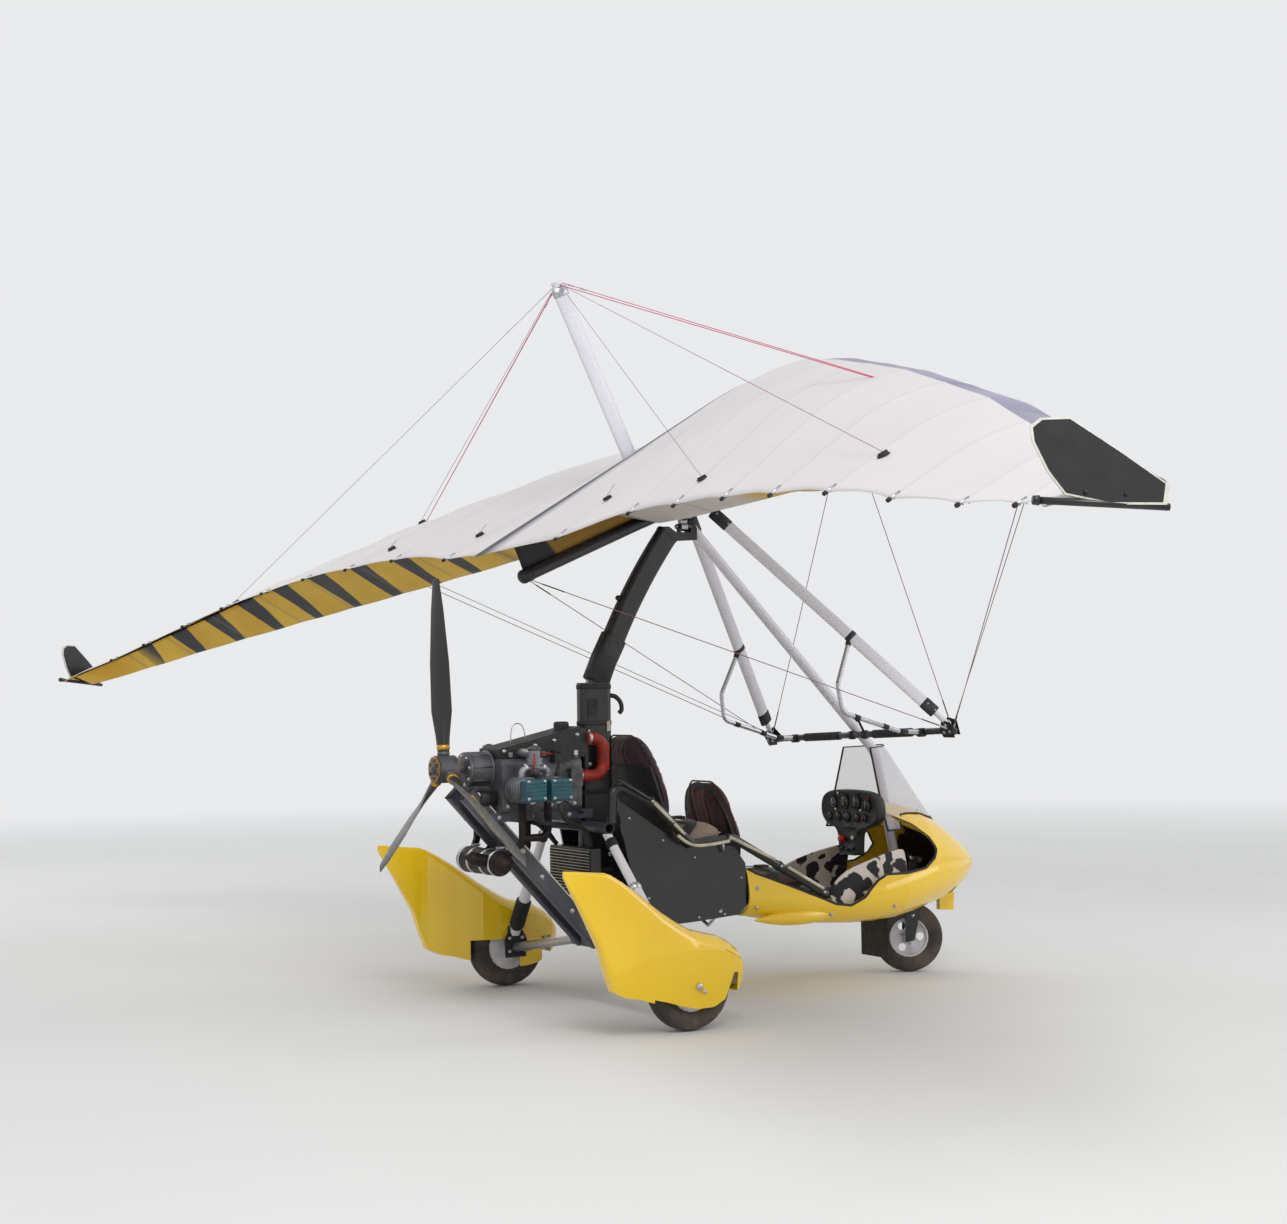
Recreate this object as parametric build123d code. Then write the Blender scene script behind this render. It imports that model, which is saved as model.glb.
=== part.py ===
from build123d import *
import math
import os

# Two-seat weight-shift ultralight aircraft: a three-wheeled trike with a pusher engine,
# hung from a king-posted flex wing. Millimetres, +X forward, +Y to the left, +Z up.
# Trike pieces are placed by their distance ahead of the main axle, wing pieces in the
# wing's own level frame with the keel tube along X and the hang point at the origin.

# Driving sizes
AXLE_X = -538.0          # main axle in the finished part's frame
GAP = 0.3                # seat clearance between pieces that meet
RUN = 0.05               # radial running clearance of a shaft in its bore

WHEELBASE = 1913.0
TRACK = 1700.0
WHEEL_X = 25.0           # wheel centres ahead of the lower cross tube's reference
MAIN_R = 195.0
MAIN_WIDTH = 106.0
MAIN_RIM_R = 112.0
NOSE_R = 177.0
NOSE_WIDTH = 90.0
NOSE_RIM_R = 100.0
AXLE_R = 12.0

TUBE_WALL = 3.0
BEAM_R = 30.0            # keel beam of the trike
BASE_Z = 300.0           # lower cross tube at the main axle
BEAM_Z = 436.0           # the beam's centre ahead of its rear bend
BEAM_BEND_X = 330.0
TRAIL = 40.0             # nose wheel's axle behind the steering axis
HEAD_X = WHEELBASE + TRAIL   # steering axis
HEAD_Z0 = 384.0
HEAD_Z1 = 560.0
HEAD_R = 30.0
STEER_R = 14.0
STEER_REST = -30.0       # the nose wheel is parked turned to the right

MAST_X = 65.0
MAST_DEPTH = 165.0
MAST_WIDTH = 76.0
MAST_TOP_Z = 1500.0
CROSS_Z = 840.0          # upper cross tube that the suspension struts hang from
CROSS_R = 25.0
CROSS_HALF = 315.0
STRUT_TUBE_R = 25.0

HANG_X = 550.0
HANG_Z = 2354.0
PITCH_DROP = 66.0        # pitch bolt below the wing's keel tube
ROLL_DROP = 44.0         # roll bolt below the pitch bolt
WING_PITCH = 22.86       # parked nose up, control bar against the front strut
WING_ROLL = -2.35        # parked a little left wing down
KEEL_R = 31.0
PIN_R = 8.0

PROP_X = -715.0
PROP_Z = 1121.0
PROP_R = 864.0
PROP_ANGLE = 4.63        # first blade from upright, towards the left
BLADES = 3

ENGINE_X0 = -500.0
ENGINE_X1 = -90.0
ENGINE_Z0 = 920.0
ENGINE_Z1 = 1160.0
ENGINE_HALF = 150.0


# Helpers
def vec(p):
    return Vector(*p)


def rod(a, b, r, wall=0.0):
    """Round bar or tube from a to b."""
    a, b = vec(a), vec(b)
    face = Circle(r)
    if wall:
        face -= Circle(r - wall)
    return extrude(Plane(origin=a, z_dir=b - a) * face, amount=(b - a).length)


def bent(points, r, bend, wall=0.0):
    """Round tube through points with rounded corners."""
    path = FilletPolyline(*[vec(p) for p in points], radius=bend)
    plane = Plane(origin=path @ 0, z_dir=path % 0)
    tube = sweep(plane * Circle(r), path=path)
    if wall:
        tube -= sweep(plane * Circle(r - wall), path=path)
    return tube


def faired(a, b, chord, thick, wall=0.0):
    """Streamlined bar or tube from a to b, with its chord along the flight direction."""
    a, b = vec(a), vec(b)
    along = (b - a).normalized()
    face = Ellipse(chord / 2, thick / 2)
    if wall:
        face -= Ellipse(chord / 2 - wall, thick / 2 - wall)
    return extrude(Plane(origin=a, x_dir=vec((1, 0, 0)) - along * along.X, z_dir=along) * face, amount=(b - a).length)


def block(x0, x1, y0, y1, z0, z1):
    return Pos((x0 + x1) / 2, (y0 + y1) / 2, (z0 + z1) / 2) * Box(x1 - x0, y1 - y0, z1 - z0)


def side_face(points):
    """Face in the XZ plane at y = 0 from (x, z) points."""
    return make_face(Polyline(*[(x, 0, z) for x, z in points], close=True))


def across(face, y0, y1):
    """Extrude an XZ face from y0 to y1."""
    return Pos(0, y0, 0) * extrude(face, amount=y1 - y0, dir=(0, 1, 0))


def mirror_y(shape):
    return mirror(shape, about=Plane.XZ)


# The wing pitches on a lateral bolt in the hang block, which itself rolls on a bolt along the trike
PIN_X = HANG_X + PITCH_DROP * math.sin(math.radians(WING_PITCH))
PIN_Z = HANG_Z - PITCH_DROP * math.cos(math.radians(WING_PITCH))
ROLL_Z = PIN_Z - ROLL_DROP


def roll_place(shape):
    """From the hang block's own frame, origin on the roll bolt, to its parked place."""
    return Pos(PIN_X, 0, ROLL_Z) * Rot(WING_ROLL, 0, 0) * shape


def wing_place(shape):
    return roll_place(Pos(0, 0, ROLL_DROP) * Rot(0, -WING_PITCH, 0) * Pos(0, 0, PITCH_DROP) * shape)


def eased(rows):
    """Table rows with one more between each two, on a smooth line through them."""
    out = []
    for i in range(len(rows) - 1):
        near = (rows[max(i - 1, 0)], rows[i], rows[i + 1], rows[min(i + 2, len(rows) - 1)])
        out += [rows[i], tuple((9 * b + 9 * c - a - d) / 16 for a, b, c, d in zip(*near))]
    return out + [rows[-1]]


parts = {}


def keep(name, shape):
    parts[name] = Pos(AXLE_X, 0, 0) * shape


# Wheels, built about the origin with the axle along Y
def wheel(r, width, rim_r, hub_half, spokes):
    half = width / 2
    shoulder = r - 0.12 * r
    with BuildSketch(Plane.XZ) as tyre_face:
        with BuildLine():
            Line((rim_r, -0.36 * width), (shoulder, -half))
            ThreePointArc((shoulder, -half), (r, 0), (shoulder, half))
            Line((shoulder, half), (rim_r, 0.36 * width))
            Line((rim_r, 0.36 * width), (rim_r, -0.36 * width))
        make_face()
    tyre = Rot(90, 0, 0) * revolve(tyre_face.sketch, Axis.Z)
    lip = 0.36 * width
    rim_wall = 8.0
    ring = Cylinder(rim_r - GAP, 2 * lip) - Cylinder(rim_r - rim_wall, 2 * lip)
    hub_r = 2.2 * AXLE_R
    disc = Cylinder(rim_r - rim_wall / 2, 10)
    for i in range(spokes):
        window = Pos(0.62 * rim_r, 0, 0) * Cylinder(0.2 * rim_r, 40)
        disc -= Rot(0, 0, 360 * i / spokes) * window
    rim = ring + disc + Cylinder(hub_r, 2 * hub_half) - Cylinder(AXLE_R + RUN, 4 * hub_half)
    return tyre, Rot(90, 0, 0) * rim


# Pod sections, which the frame's posts stand in
# columns: x, half floor, floor z, half width, widest z, crown z
POD_SECTIONS = [
    (715, 225, 388, 318, 500, 800),
    (1000, 240, 340, 336, 475, 850),
    (HEAD_X - 603, 235, 310, 344, 470, 890),
    (HEAD_X - 303, 205, 314, 328, 520, 890),
    (HEAD_X - 63, 140, 348, 268, 560, 846),
    (HEAD_X + 137, 90, 390, 180, 568, 745),
    (HEAD_X + 287, 40, 450, 88, 563, 640),
    (HEAD_X + 365, 12, 505, 28, 540, 568),
]
POD_WALL = 7.0


def pod_floor(x):
    """Height of the pod's floor, on its inner side."""
    rows = eased(POD_SECTIONS)
    low, high = next((low, high) for low, high in zip(rows, rows[1:]) if low[0] <= x <= high[0])
    return low[2] + (x - low[0]) / (high[0] - low[0]) * (high[2] - low[2]) + POD_WALL


# Trike frame
CROSS_BASE_X = 30.0      # lower cross tube, which the gear arms leave from
BASE_HALF = 140.0
STRUT_FOOT_X = HEAD_X - 88
STRUT_FOOT_Z = BEAM_Z + BEAM_R + 12
MAST_FOOT_Z = BEAM_Z + BEAM_R + 8
POD_POSTS = (1120.0, HEAD_X - 393)     # places of the pod's mounts

keel_beam = bent([(CROSS_BASE_X, 0, BASE_Z), (BEAM_BEND_X, 0, BEAM_Z), (HEAD_X, 0, BEAM_Z)], BEAM_R, 300)
keel_beam += rod((CROSS_BASE_X, -BASE_HALF, BASE_Z), (CROSS_BASE_X, BASE_HALF, BASE_Z), BEAM_R)
keel_beam += Pos(HEAD_X, 0, (HEAD_Z0 + HEAD_Z1) / 2) * Cylinder(HEAD_R, HEAD_Z1 - HEAD_Z0)
keel_beam += block(STRUT_FOOT_X - 34, STRUT_FOOT_X + 34, -28, 28, BEAM_Z, STRUT_FOOT_Z)
keel_beam += block(MAST_X - 70, MAST_X + 70, -28, 28, BASE_Z, MAST_FOOT_Z)
for post_x in POD_POSTS:
    post_z = max(pod_floor(post_x - 18), pod_floor(post_x), pod_floor(post_x + 18)) + GAP
    keel_beam += block(post_x - 18, post_x + 18, -24, 24, post_z, BEAM_Z)
keel_beam -= Pos(HEAD_X, 0, (HEAD_Z0 + HEAD_Z1) / 2) * Cylinder(STEER_R + RUN, 2 * HEAD_Z1)
keep("keel_beam", keel_beam)

# Mast: an upright box section and the curved upper part that plugs into it
mast_plan = RectangleRounded(MAST_DEPTH, MAST_WIDTH, 30) - RectangleRounded(MAST_DEPTH - 8, MAST_WIDTH - 8, 26)
mast_lower = Pos(MAST_X, 0, MAST_FOOT_Z + GAP) * extrude(mast_plan, amount=MAST_TOP_Z - MAST_FOOT_Z - GAP)
mast_lower += Pos(MAST_X, 0, MAST_TOP_Z - 8) * extrude(RectangleRounded(MAST_DEPTH - 6, MAST_WIDTH - 6, 27), amount=8)
keep("mast_lower", mast_lower)

MAST_UP_DEPTH = 112.0
MAST_UP_WIDTH = 58.0
MAST_MID = (297.0, 1932.0)
MAST_TIP = (480.0, 2203.0)
mast_path = ThreePointArc((MAST_X + 8, 0, MAST_TOP_Z - 40), (MAST_MID[0], 0, MAST_MID[1]), (MAST_TIP[0], 0, MAST_TIP[1]))
mast_plane = Plane(origin=mast_path @ 0, x_dir=(0, 1, 0), z_dir=mast_path % 0)
mast_ring = RectangleRounded(MAST_UP_WIDTH, MAST_UP_DEPTH, 22)
mast_bore = RectangleRounded(MAST_UP_WIDTH - 8, MAST_UP_DEPTH - 8, 18)
mast_upper = sweep(mast_plane * mast_ring, path=mast_path)
mast_upper -= sweep(mast_plane * mast_bore, path=mast_path)
mast_upper -= block(-MAST_X, 4 * MAST_X, -100, 100, MAST_TOP_Z - 300, MAST_TOP_Z + GAP)
keep("mast_upper", mast_upper)

# Mast head: cap and body on the mast's end, two plates across it and the roll bolt between them
PLATE = 8.0
LUG_HALF = 18.0          # half length of the hang block's lug between the plates
HEAD_FRONT = PIN_X + 64
head_end = mast_path @ 1
head_dir = (mast_path % 1).normalized()
head_plane = Plane(origin=head_end + head_dir * GAP, x_dir=(0, 1, 0), z_dir=head_dir)
mast_head = extrude(head_plane * RectangleRounded(MAST_UP_WIDTH + 4, MAST_UP_DEPTH + 4, 24), amount=12)
mast_head += across(side_face([
    (446, 2245), (530, 2179), (HEAD_FRONT, 2186), (HEAD_FRONT, 2246), (PIN_X + 28, 2246), (PIN_X + 28, 2221),
    (520, 2221), (480, 2246),
]), -28, 28)
for x0 in (PIN_X - LUG_HALF - GAP - PLATE, PIN_X + LUG_HALF + GAP):
    mast_head += block(x0, x0 + PLATE, -14, 14, 2215, ROLL_Z)
    mast_head += rod((x0, 0, ROLL_Z), (x0 + PLATE, 0, ROLL_Z), 14)
bolt_half = LUG_HALF + GAP + PLATE + 8
mast_head += rod((PIN_X - bolt_half, 0, ROLL_Z), (PIN_X + bolt_half, 0, ROLL_Z), PIN_R)
keep("mast_head", mast_head)

# Front strut: from the mast head down to the steering head, bent over the instruments
STRUT_BEND = (HEAD_X - 238, 0, 1130.0)
STRUT_BEND_R = 160.0
strut_end = (STRUT_FOOT_X, 0, STRUT_FOOT_Z - 60)
strut = bent([(HEAD_FRONT - 12, 0, ROLL_Z - 7), STRUT_BEND, strut_end], STRUT_TUBE_R, STRUT_BEND_R, TUBE_WALL)
strut -= block(STRUT_FOOT_X - 200, STRUT_FOOT_X + 200, -60, 60, 0, STRUT_FOOT_Z + GAP)
strut -= block(HEAD_FRONT - 100, HEAD_FRONT + GAP, -60, 60, ROLL_Z - 150, ROLL_Z + 150)
keep("front_strut", strut)

# Upper cross tube behind the mast, with the suspension struts and the seat rails on it
cross_x = MAST_X - MAST_DEPTH / 2 - CROSS_R - GAP
cross_tube = rod((cross_x, -CROSS_HALF, CROSS_Z), (cross_x, CROSS_HALF, CROSS_Z), CROSS_R, TUBE_WALL)
keep("cross_tube", cross_tube)

RAIL_Y = 330.0
RAIL_R = 20.0
rail_points = [
    (cross_x, RAIL_Y, CROSS_Z), (cross_x + 10, RAIL_Y, 1045), (190, RAIL_Y, 935), (385, RAIL_Y, 752),
    (620, RAIL_Y, 762), (1150, RAIL_Y, 467),
]
rail = bent(rail_points, RAIL_R, 42, TUBE_WALL)
rail -= rod((cross_x, -500, CROSS_Z), (cross_x, 500, CROSS_Z), CROSS_R + GAP)
keep("side_rails", rail + mirror_y(rail))

# Rear frame: twin inclined beams from the lower cross tube up to the engine
REAR_Y = 70.0
REAR_W = 44.0
REAR_D = 80.0
REAR_TOP = (-640.0, 1010.0)
rear_foot = (CROSS_BASE_X, BASE_Z)
rear_dx, rear_dz = REAR_TOP[0] - rear_foot[0], REAR_TOP[1] - rear_foot[1]
rear_len = math.hypot(rear_dx, rear_dz)
rear_frame = None
for side in (-1, 1):
    plane = Plane(origin=(rear_foot[0], side * REAR_Y, rear_foot[1]), x_dir=(0, 1, 0), z_dir=(rear_dx, 0, rear_dz))
    beam = extrude(plane * RectangleRounded(REAR_W, REAR_D, 12), amount=rear_len)
    beam -= rod((rear_foot[0], -300, rear_foot[1]), (rear_foot[0], 300, rear_foot[1]), BEAM_R + GAP)
    rear_frame = beam if rear_frame is None else rear_frame + beam
keep("rear_frame", rear_frame)

# Engine bearers from the mast to the rear beams
BEARER_W = 28.0
BEARER_H = 40.0
bearer_y = REAR_Y + REAR_W / 2 + BEARER_W / 2 + GAP
bearer_x0 = -560.0
bearers = None
for side in (-1, 1):
    y0 = side * bearer_y - BEARER_W / 2
    bar = block(bearer_x0, cross_x + 20, y0, y0 + BEARER_W, ENGINE_Z0 - BEARER_H - GAP, ENGINE_Z0 - GAP)
    bearers = bar if bearers is None else bearers + bar
tie_x = MAST_X - MAST_DEPTH / 2 - GAP
bearers += block(tie_x - 24, tie_x, -bearer_y - BEARER_W / 2, bearer_y + BEARER_W / 2,
                 ENGINE_Z0 - BEARER_H - GAP, ENGINE_Z0 - GAP)
keep("engine_bearers", bearers)

# Engine: crankcase block, gearbox, four cylinders and their covers
keep("engine_block", fillet(block(ENGINE_X0, ENGINE_X1, -ENGINE_HALF, ENGINE_HALF, ENGINE_Z0, ENGINE_Z1)
                            .edges().filter_by(Axis.X), 30))

GEAR_X0 = -620.0
gearbox = Pos(GEAR_X0 / 2 + ENGINE_X0 / 2, 0, PROP_Z - 10) * Rot(0, 90, 0) * Cylinder(80, ENGINE_X0 - GEAR_X0 - 2 * GAP)
gearbox += Pos(GEAR_X0 / 2 + ENGINE_X0 / 2, 0, PROP_Z - 90) * Rot(0, 90, 0) * Cylinder(42, ENGINE_X0 - GEAR_X0 - 2 * GAP)
SHAFT_R = 20.0
SHAFT_END = -690.0
gearbox += rod((GEAR_X0 + 5, 0, PROP_Z), (SHAFT_END, 0, PROP_Z), SHAFT_R)
keep("gearbox", gearbox)

CYLINDER_X = (-440.0, -310.0)
CYLINDER_Z = 1025.0
CYLINDER_OUT = 305.0
cylinders, covers = None, None
for side in (-1, 1):
    for x in CYLINDER_X:
        barrel = rod((x, side * (ENGINE_HALF + GAP), CYLINDER_Z), (x, side * CYLINDER_OUT, CYLINDER_Z), 44)
        for i in range(5):
            y = side * (ENGINE_HALF + 22 + 26 * i)
            barrel += rod((x, y, CYLINDER_Z), (x, y + side * 8, CYLINDER_Z), 57)
        y0, y1 = sorted((side * (CYLINDER_OUT + GAP), side * (CYLINDER_OUT + 62)))
        cover = fillet(block(x - 54, x + 54, y0, y1, CYLINDER_Z - 48, CYLINDER_Z + 52).edges(), 12)
        cylinders = barrel if cylinders is None else cylinders + barrel
        covers = cover if covers is None else covers + cover
# Inlet manifold over each pair of cylinders, with its carburettor and the duct to the intake box
CARB_Y = 225.0
CARB_X = (CYLINDER_X[0] + CYLINDER_X[1]) / 2
RUNNER_Z = CYLINDER_Z + 95
RUNNER_R = 17.0
INTAKE_HALF = 95.0
for side in (-1, 1):
    y = side * CARB_Y
    cylinders += bent([(CYLINDER_X[0], y, CYLINDER_Z + 50), (CYLINDER_X[0], y, RUNNER_Z), (CYLINDER_X[1], y, RUNNER_Z),
                       (CYLINDER_X[1], y, CYLINDER_Z + 50)], RUNNER_R, 30)
    cylinders += rod((CARB_X, y, RUNNER_Z), (CARB_X, y, RUNNER_Z + 82), 27)
    cylinders += rod((CARB_X, y, RUNNER_Z + 16), (CARB_X, y, RUNNER_Z + 46), 36)
    cylinders += rod((CARB_X, y, RUNNER_Z + 66), (CARB_X, side * (INTAKE_HALF + GAP), RUNNER_Z + 66), 21)
keep("cylinders", cylinders)
keep("rocker_covers", covers)

# Intake box along the top of the engine, and the hose that feeds it
CAP_X, CAP_Z, CAP_R = -112.0, 1322.0, 36.0
airbox = side_face([(-490, ENGINE_Z1 + GAP), (-490, 1205), (-60, 1300), (-30, 1290), (-30, ENGINE_Z1 + GAP)])
intake_box = fillet(across(airbox, -INTAKE_HALF, INTAKE_HALF).edges().filter_by(Axis.Y, reverse=True).group_by(Axis.Z)[-1], 18)
cap = fillet(rod((CAP_X, 0, CAP_Z - 50), (CAP_X, 0, CAP_Z), CAP_R).edges().group_by(Axis.Z)[-1], 12)
keep("intake_box", intake_box + cap)
HOSE_R = 28.0
hose_y = -86.0
hose = bent([(-30 + GAP, hose_y, 1245), (64, hose_y, 1245), (64, hose_y, 1070), (ENGINE_X1 + GAP, hose_y, 1070)],
            HOSE_R, 62)
keep("intake_hose", hose)

RADIATOR_X = MAST_X - MAST_DEPTH / 2 - GAP
radiator = block(RADIATOR_X - 55, RADIATOR_X, -190, 190, 520, 740)
keep("radiator", radiator)

# Exhaust: silencer under the engine on two hangers, with its down pipe
MUFFLER_X, MUFFLER_Z, MUFFLER_R = -520.0, 700.0, 58.0
muffler = rod((MUFFLER_X, -190, MUFFLER_Z), (MUFFLER_X, 190, MUFFLER_Z), MUFFLER_R)
muffler = fillet(muffler.edges(), 30)
down_pipe = bent([(-300, 0, ENGINE_Z0 - GAP), (-300, 0, MUFFLER_Z), (MUFFLER_X, 0, MUFFLER_Z)], 20, 70)
normal = (rear_dz / rear_len, -rear_dx / rear_len)
to_beam = (rear_foot[0] - MUFFLER_X) * normal[0] + (rear_foot[1] - MUFFLER_Z) * normal[1] - REAR_D / 2 - GAP
exhaust = muffler + down_pipe
HEADER_R = 17.0
header_top = CYLINDER_Z - 57 - GAP
for side in (-1, 1):
    y = side * CARB_Y
    exhaust += bent([(CYLINDER_X[0], y, header_top), (CYLINDER_X[0], y, MUFFLER_Z + 90),
                     (MUFFLER_X, side * 140, MUFFLER_Z)], HEADER_R, 40)
    exhaust += bent([(CYLINDER_X[1], y, header_top), (CYLINDER_X[1], y, MUFFLER_Z + 110),
                     (CYLINDER_X[0], y, MUFFLER_Z + 110)], HEADER_R, 40)
for side in (-1, 1):
    exhaust += rod((MUFFLER_X, side * REAR_Y, MUFFLER_Z),
                   (MUFFLER_X + normal[0] * to_beam, side * REAR_Y, MUFFLER_Z + normal[1] * to_beam), 9)
keep("exhaust", exhaust)

# Main gear: lower arm with stub axle, suspension strut, spat and wheel, each side
HALF_TRACK = TRACK / 2
SPAT_WALL = 6.0
SPAT_HALF = 92.0
ARM_R = 22.0
AXLE_TIP = HALF_TRACK + SPAT_HALF + 4
KNUCKLE_Y = HALF_TRACK - 90.0
arm = rod((CROSS_BASE_X, BASE_HALF - 20, BASE_Z), (WHEEL_X, KNUCKLE_Y, MAIN_R), ARM_R)
arm -= block(CROSS_BASE_X - 80, CROSS_BASE_X + 70, 0, BASE_HALF + GAP, BASE_Z - 100, BASE_Z + 100)
arm += block(WHEEL_X - 28, WHEEL_X + 28, KNUCKLE_Y - 14, KNUCKLE_Y + 14, MAIN_R - 34, MAIN_R + 60)
arm += rod((WHEEL_X, KNUCKLE_Y, MAIN_R), (WHEEL_X, AXLE_TIP, MAIN_R), AXLE_R)
keep("gear_arms", arm + mirror_y(arm))

strut_up = (cross_x, CROSS_HALF - 25, CROSS_Z - CROSS_R - GAP)
strut_low = (WHEEL_X, KNUCKLE_Y, MAIN_R + 60 + GAP)
mid = [strut_up[i] + 0.42 * (strut_low[i] - strut_up[i]) for i in range(3)]
shock = rod(strut_up, mid, 21) + rod(mid, strut_low, 27)
trim_top = block(cross_x - 60, cross_x + 60, 200, 400, strut_up[2], strut_up[2] + 60)
trim_low = block(WHEEL_X - 60, WHEEL_X + 60, KNUCKLE_Y - 60, KNUCKLE_Y + 60, strut_low[2] - 60, strut_low[2])
shock = shock - trim_top - trim_low
keep("suspension_struts", shock + mirror_y(shock))

# Spat: rounded over the wheel, with a nearly flat outer face that runs on into a raised tail.
# columns: x, bottom z, crease z, shoulder z, crown z, and the half widths: inner, then outer at bottom, crease, shoulder
SPAT_SECTIONS = [
    (-627, 694, 703, 716, 722, -76, 88, 90, 88),
    (-455, 392, 430, 690, 706, -42, 82, 92, 84),
    (-388, 206, 288, 668, 692, -30, 76, 92, 80),
    (-260, 164, 326, 568, 616, 14, 78, 93, 76),
    (-130, 126, 348, 468, 524, 64, 78, 94, 78),
    (25, 100, 352, 376, 434, 90, 80, 95, 82),
    (165, 114, 336, 348, 398, 90, 78, 93, 78),
    (258, 172, 290, 300, 344, 64, 54, 66, 54),
    (304, 232, 254, 262, 276, 22, 16, 22, 16),
]
ARCH_HALF = 215.0        # half length of the opening under the wheel


def spat_section(x, z0, crease_z, shoulder_z, z1, inner, low, wide, high, inset):
    """Section across a spat, with y outwards from the wheel's middle plane."""
    z0, shoulder_z, z1, inner = z0 + inset, shoulder_z - inset / 2, z1 - inset, inner - inset
    low, wide, high = low - inset, wide - inset, high - inset
    face = make_face([
        Line((-inner, z0), (low, z0)),
        ThreePointArc((low, z0), (0.3 * low + 0.7 * wide, (z0 + crease_z) / 2), (wide, crease_z)),
        Line((wide, crease_z), (high, shoulder_z)),
        ThreePointArc((high, shoulder_z), ((high - inner) / 2, z1), (-inner, shoulder_z)),
        Line((-inner, shoulder_z), (-inner, z0)),
    ])
    return Plane(origin=(x, 0, 0), x_dir=(0, 1, 0), z_dir=(1, 0, 0)) * face


spat = loft([spat_section(*row, 0) for row in eased(SPAT_SECTIONS)], ruled=True)
hollow_rows = [row for row in eased(SPAT_SECTIONS) if -300 < row[0] < 285]
hollow = loft([spat_section(*row, SPAT_WALL) for row in hollow_rows], ruled=True)
under = block(WHEEL_X - ARCH_HALF, WHEEL_X + ARCH_HALF, -SPAT_HALF + SPAT_WALL, SPAT_HALF - 2 * SPAT_WALL, 60, 240)
spat = spat - hollow - under
spat -= block(WHEEL_X - 34, WHEEL_X + 34, -150, -40, 60, MAIN_R + 110)
spat -= rod((WHEEL_X, 0, MAIN_R), (WHEEL_X, 2 * SPAT_HALF, MAIN_R), AXLE_R + GAP)
spat = Pos(0, HALF_TRACK, 0) * spat
keep("spat_left", spat)
keep("spat_right", mirror_y(spat))

tyre, rim = wheel(MAIN_R, MAIN_WIDTH, MAIN_RIM_R, 48, 5)
for name, side in (("left", 1), ("right", -1)):
    place = Pos(WHEEL_X, side * HALF_TRACK, MAIN_R)
    keep("main_tyre_" + name, place * tyre)
    keep("main_rim_" + name, place * rim)

# Steered fork with its foot bar and the nose wheel, built straight and then turned
turn = Pos(HEAD_X, 0, 0) * Rot(0, 0, STEER_REST) * Pos(-HEAD_X, 0, 0)
FORK_Y = NOSE_WIDTH / 2 + 9
LEG_T = 9.0
CROWN_Z0 = 2 * NOSE_R + 7
crown_top = HEAD_Z0 - GAP
fork = block(WHEELBASE - 20, HEAD_X + 32, -FORK_Y - LEG_T, FORK_Y + LEG_T, CROWN_Z0, crown_top)
for side in (-1, 1):
    y0, y1 = sorted((side * FORK_Y, side * (FORK_Y + LEG_T)))
    leg = side_face([(WHEELBASE - 20, crown_top), (HEAD_X + 32, crown_top), (WHEELBASE + 24, NOSE_R - 12),
                     (WHEELBASE - 22, NOSE_R - 24)])
    fork += across(leg, y0, y1)
fork += rod((WHEELBASE, -FORK_Y - LEG_T - 8, NOSE_R), (WHEELBASE, FORK_Y + LEG_T + 8, NOSE_R), AXLE_R)
fork += Pos(HEAD_X, 0, (CROWN_Z0 + HEAD_Z1 + 30) / 2) * Cylinder(STEER_R, HEAD_Z1 + 30 - CROWN_Z0)
fork += rod((HEAD_X, -190, HEAD_Z1 + 22), (HEAD_X, 190, HEAD_Z1 + 22), 11)
keep("nose_fork", turn * fork)
tyre, rim = wheel(NOSE_R, NOSE_WIDTH, NOSE_RIM_R, FORK_Y - 4, 3)
keep("nose_tyre", turn * Pos(WHEELBASE, 0, NOSE_R) * tyre)
keep("nose_rim", turn * Pos(WHEELBASE, 0, NOSE_R) * rim)

# Pod: moulded nose fairing, open over the front seat and at both sides of the leg space
def pod_section(x, floor_half, floor_z, half, wide_z, top_z, inset):
    b, w = floor_half - inset, half - inset
    z0, z1 = floor_z + inset, top_z - inset
    bulge_y = (b + w) / 2 + 0.22 * (wide_z - z0)
    bulge_z = (z0 + wide_z) / 2 - 0.16 * (wide_z - z0)
    face = make_face([
        Line((-b, z0), (b, z0)),
        ThreePointArc((b, z0), (min(bulge_y, w - 2), bulge_z), (w, wide_z)),
        ThreePointArc((w, wide_z), (0, z1), (-w, wide_z)),
        ThreePointArc((-w, wide_z), (-min(bulge_y, w - 2), bulge_z), (-b, z0)),
    ])
    return Plane(origin=(x, 0, 0), x_dir=(0, 1, 0), z_dir=(1, 0, 0)) * face


outer = loft([pod_section(*row, 0) for row in eased(POD_SECTIONS)], ruled=True)
inner_rows = [(POD_SECTIONS[0][0] - 40,) + POD_SECTIONS[0][1:]] + eased(POD_SECTIONS)[:-2]
inner = loft([pod_section(*row, POD_WALL) for row in inner_rows], ruled=True)
cockpit = side_face([
    (600, 700), (660, 650), (766, 592), (1010, 500), (1200, 425), (HEAD_X - 663, 412), (HEAD_X - 583, 445),
    (HEAD_X - 503, 520), (HEAD_X - 443, 548), (HEAD_X - 303, 545), (HEAD_X - 163, 560), (HEAD_X - 91, 600),
    (HEAD_X - 68, 640), (HEAD_X - 103, 695), (HEAD_X - 203, 765), (HEAD_X - 323, 815), (HEAD_X - 353, 1000), (600, 1000),
])
wheel_arch = block(HEAD_X - 213, HEAD_X + 147, -165, 165, 250, 440)
strut_hole = rod(STRUT_BEND, strut_end, STRUT_TUBE_R + 12)
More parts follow.
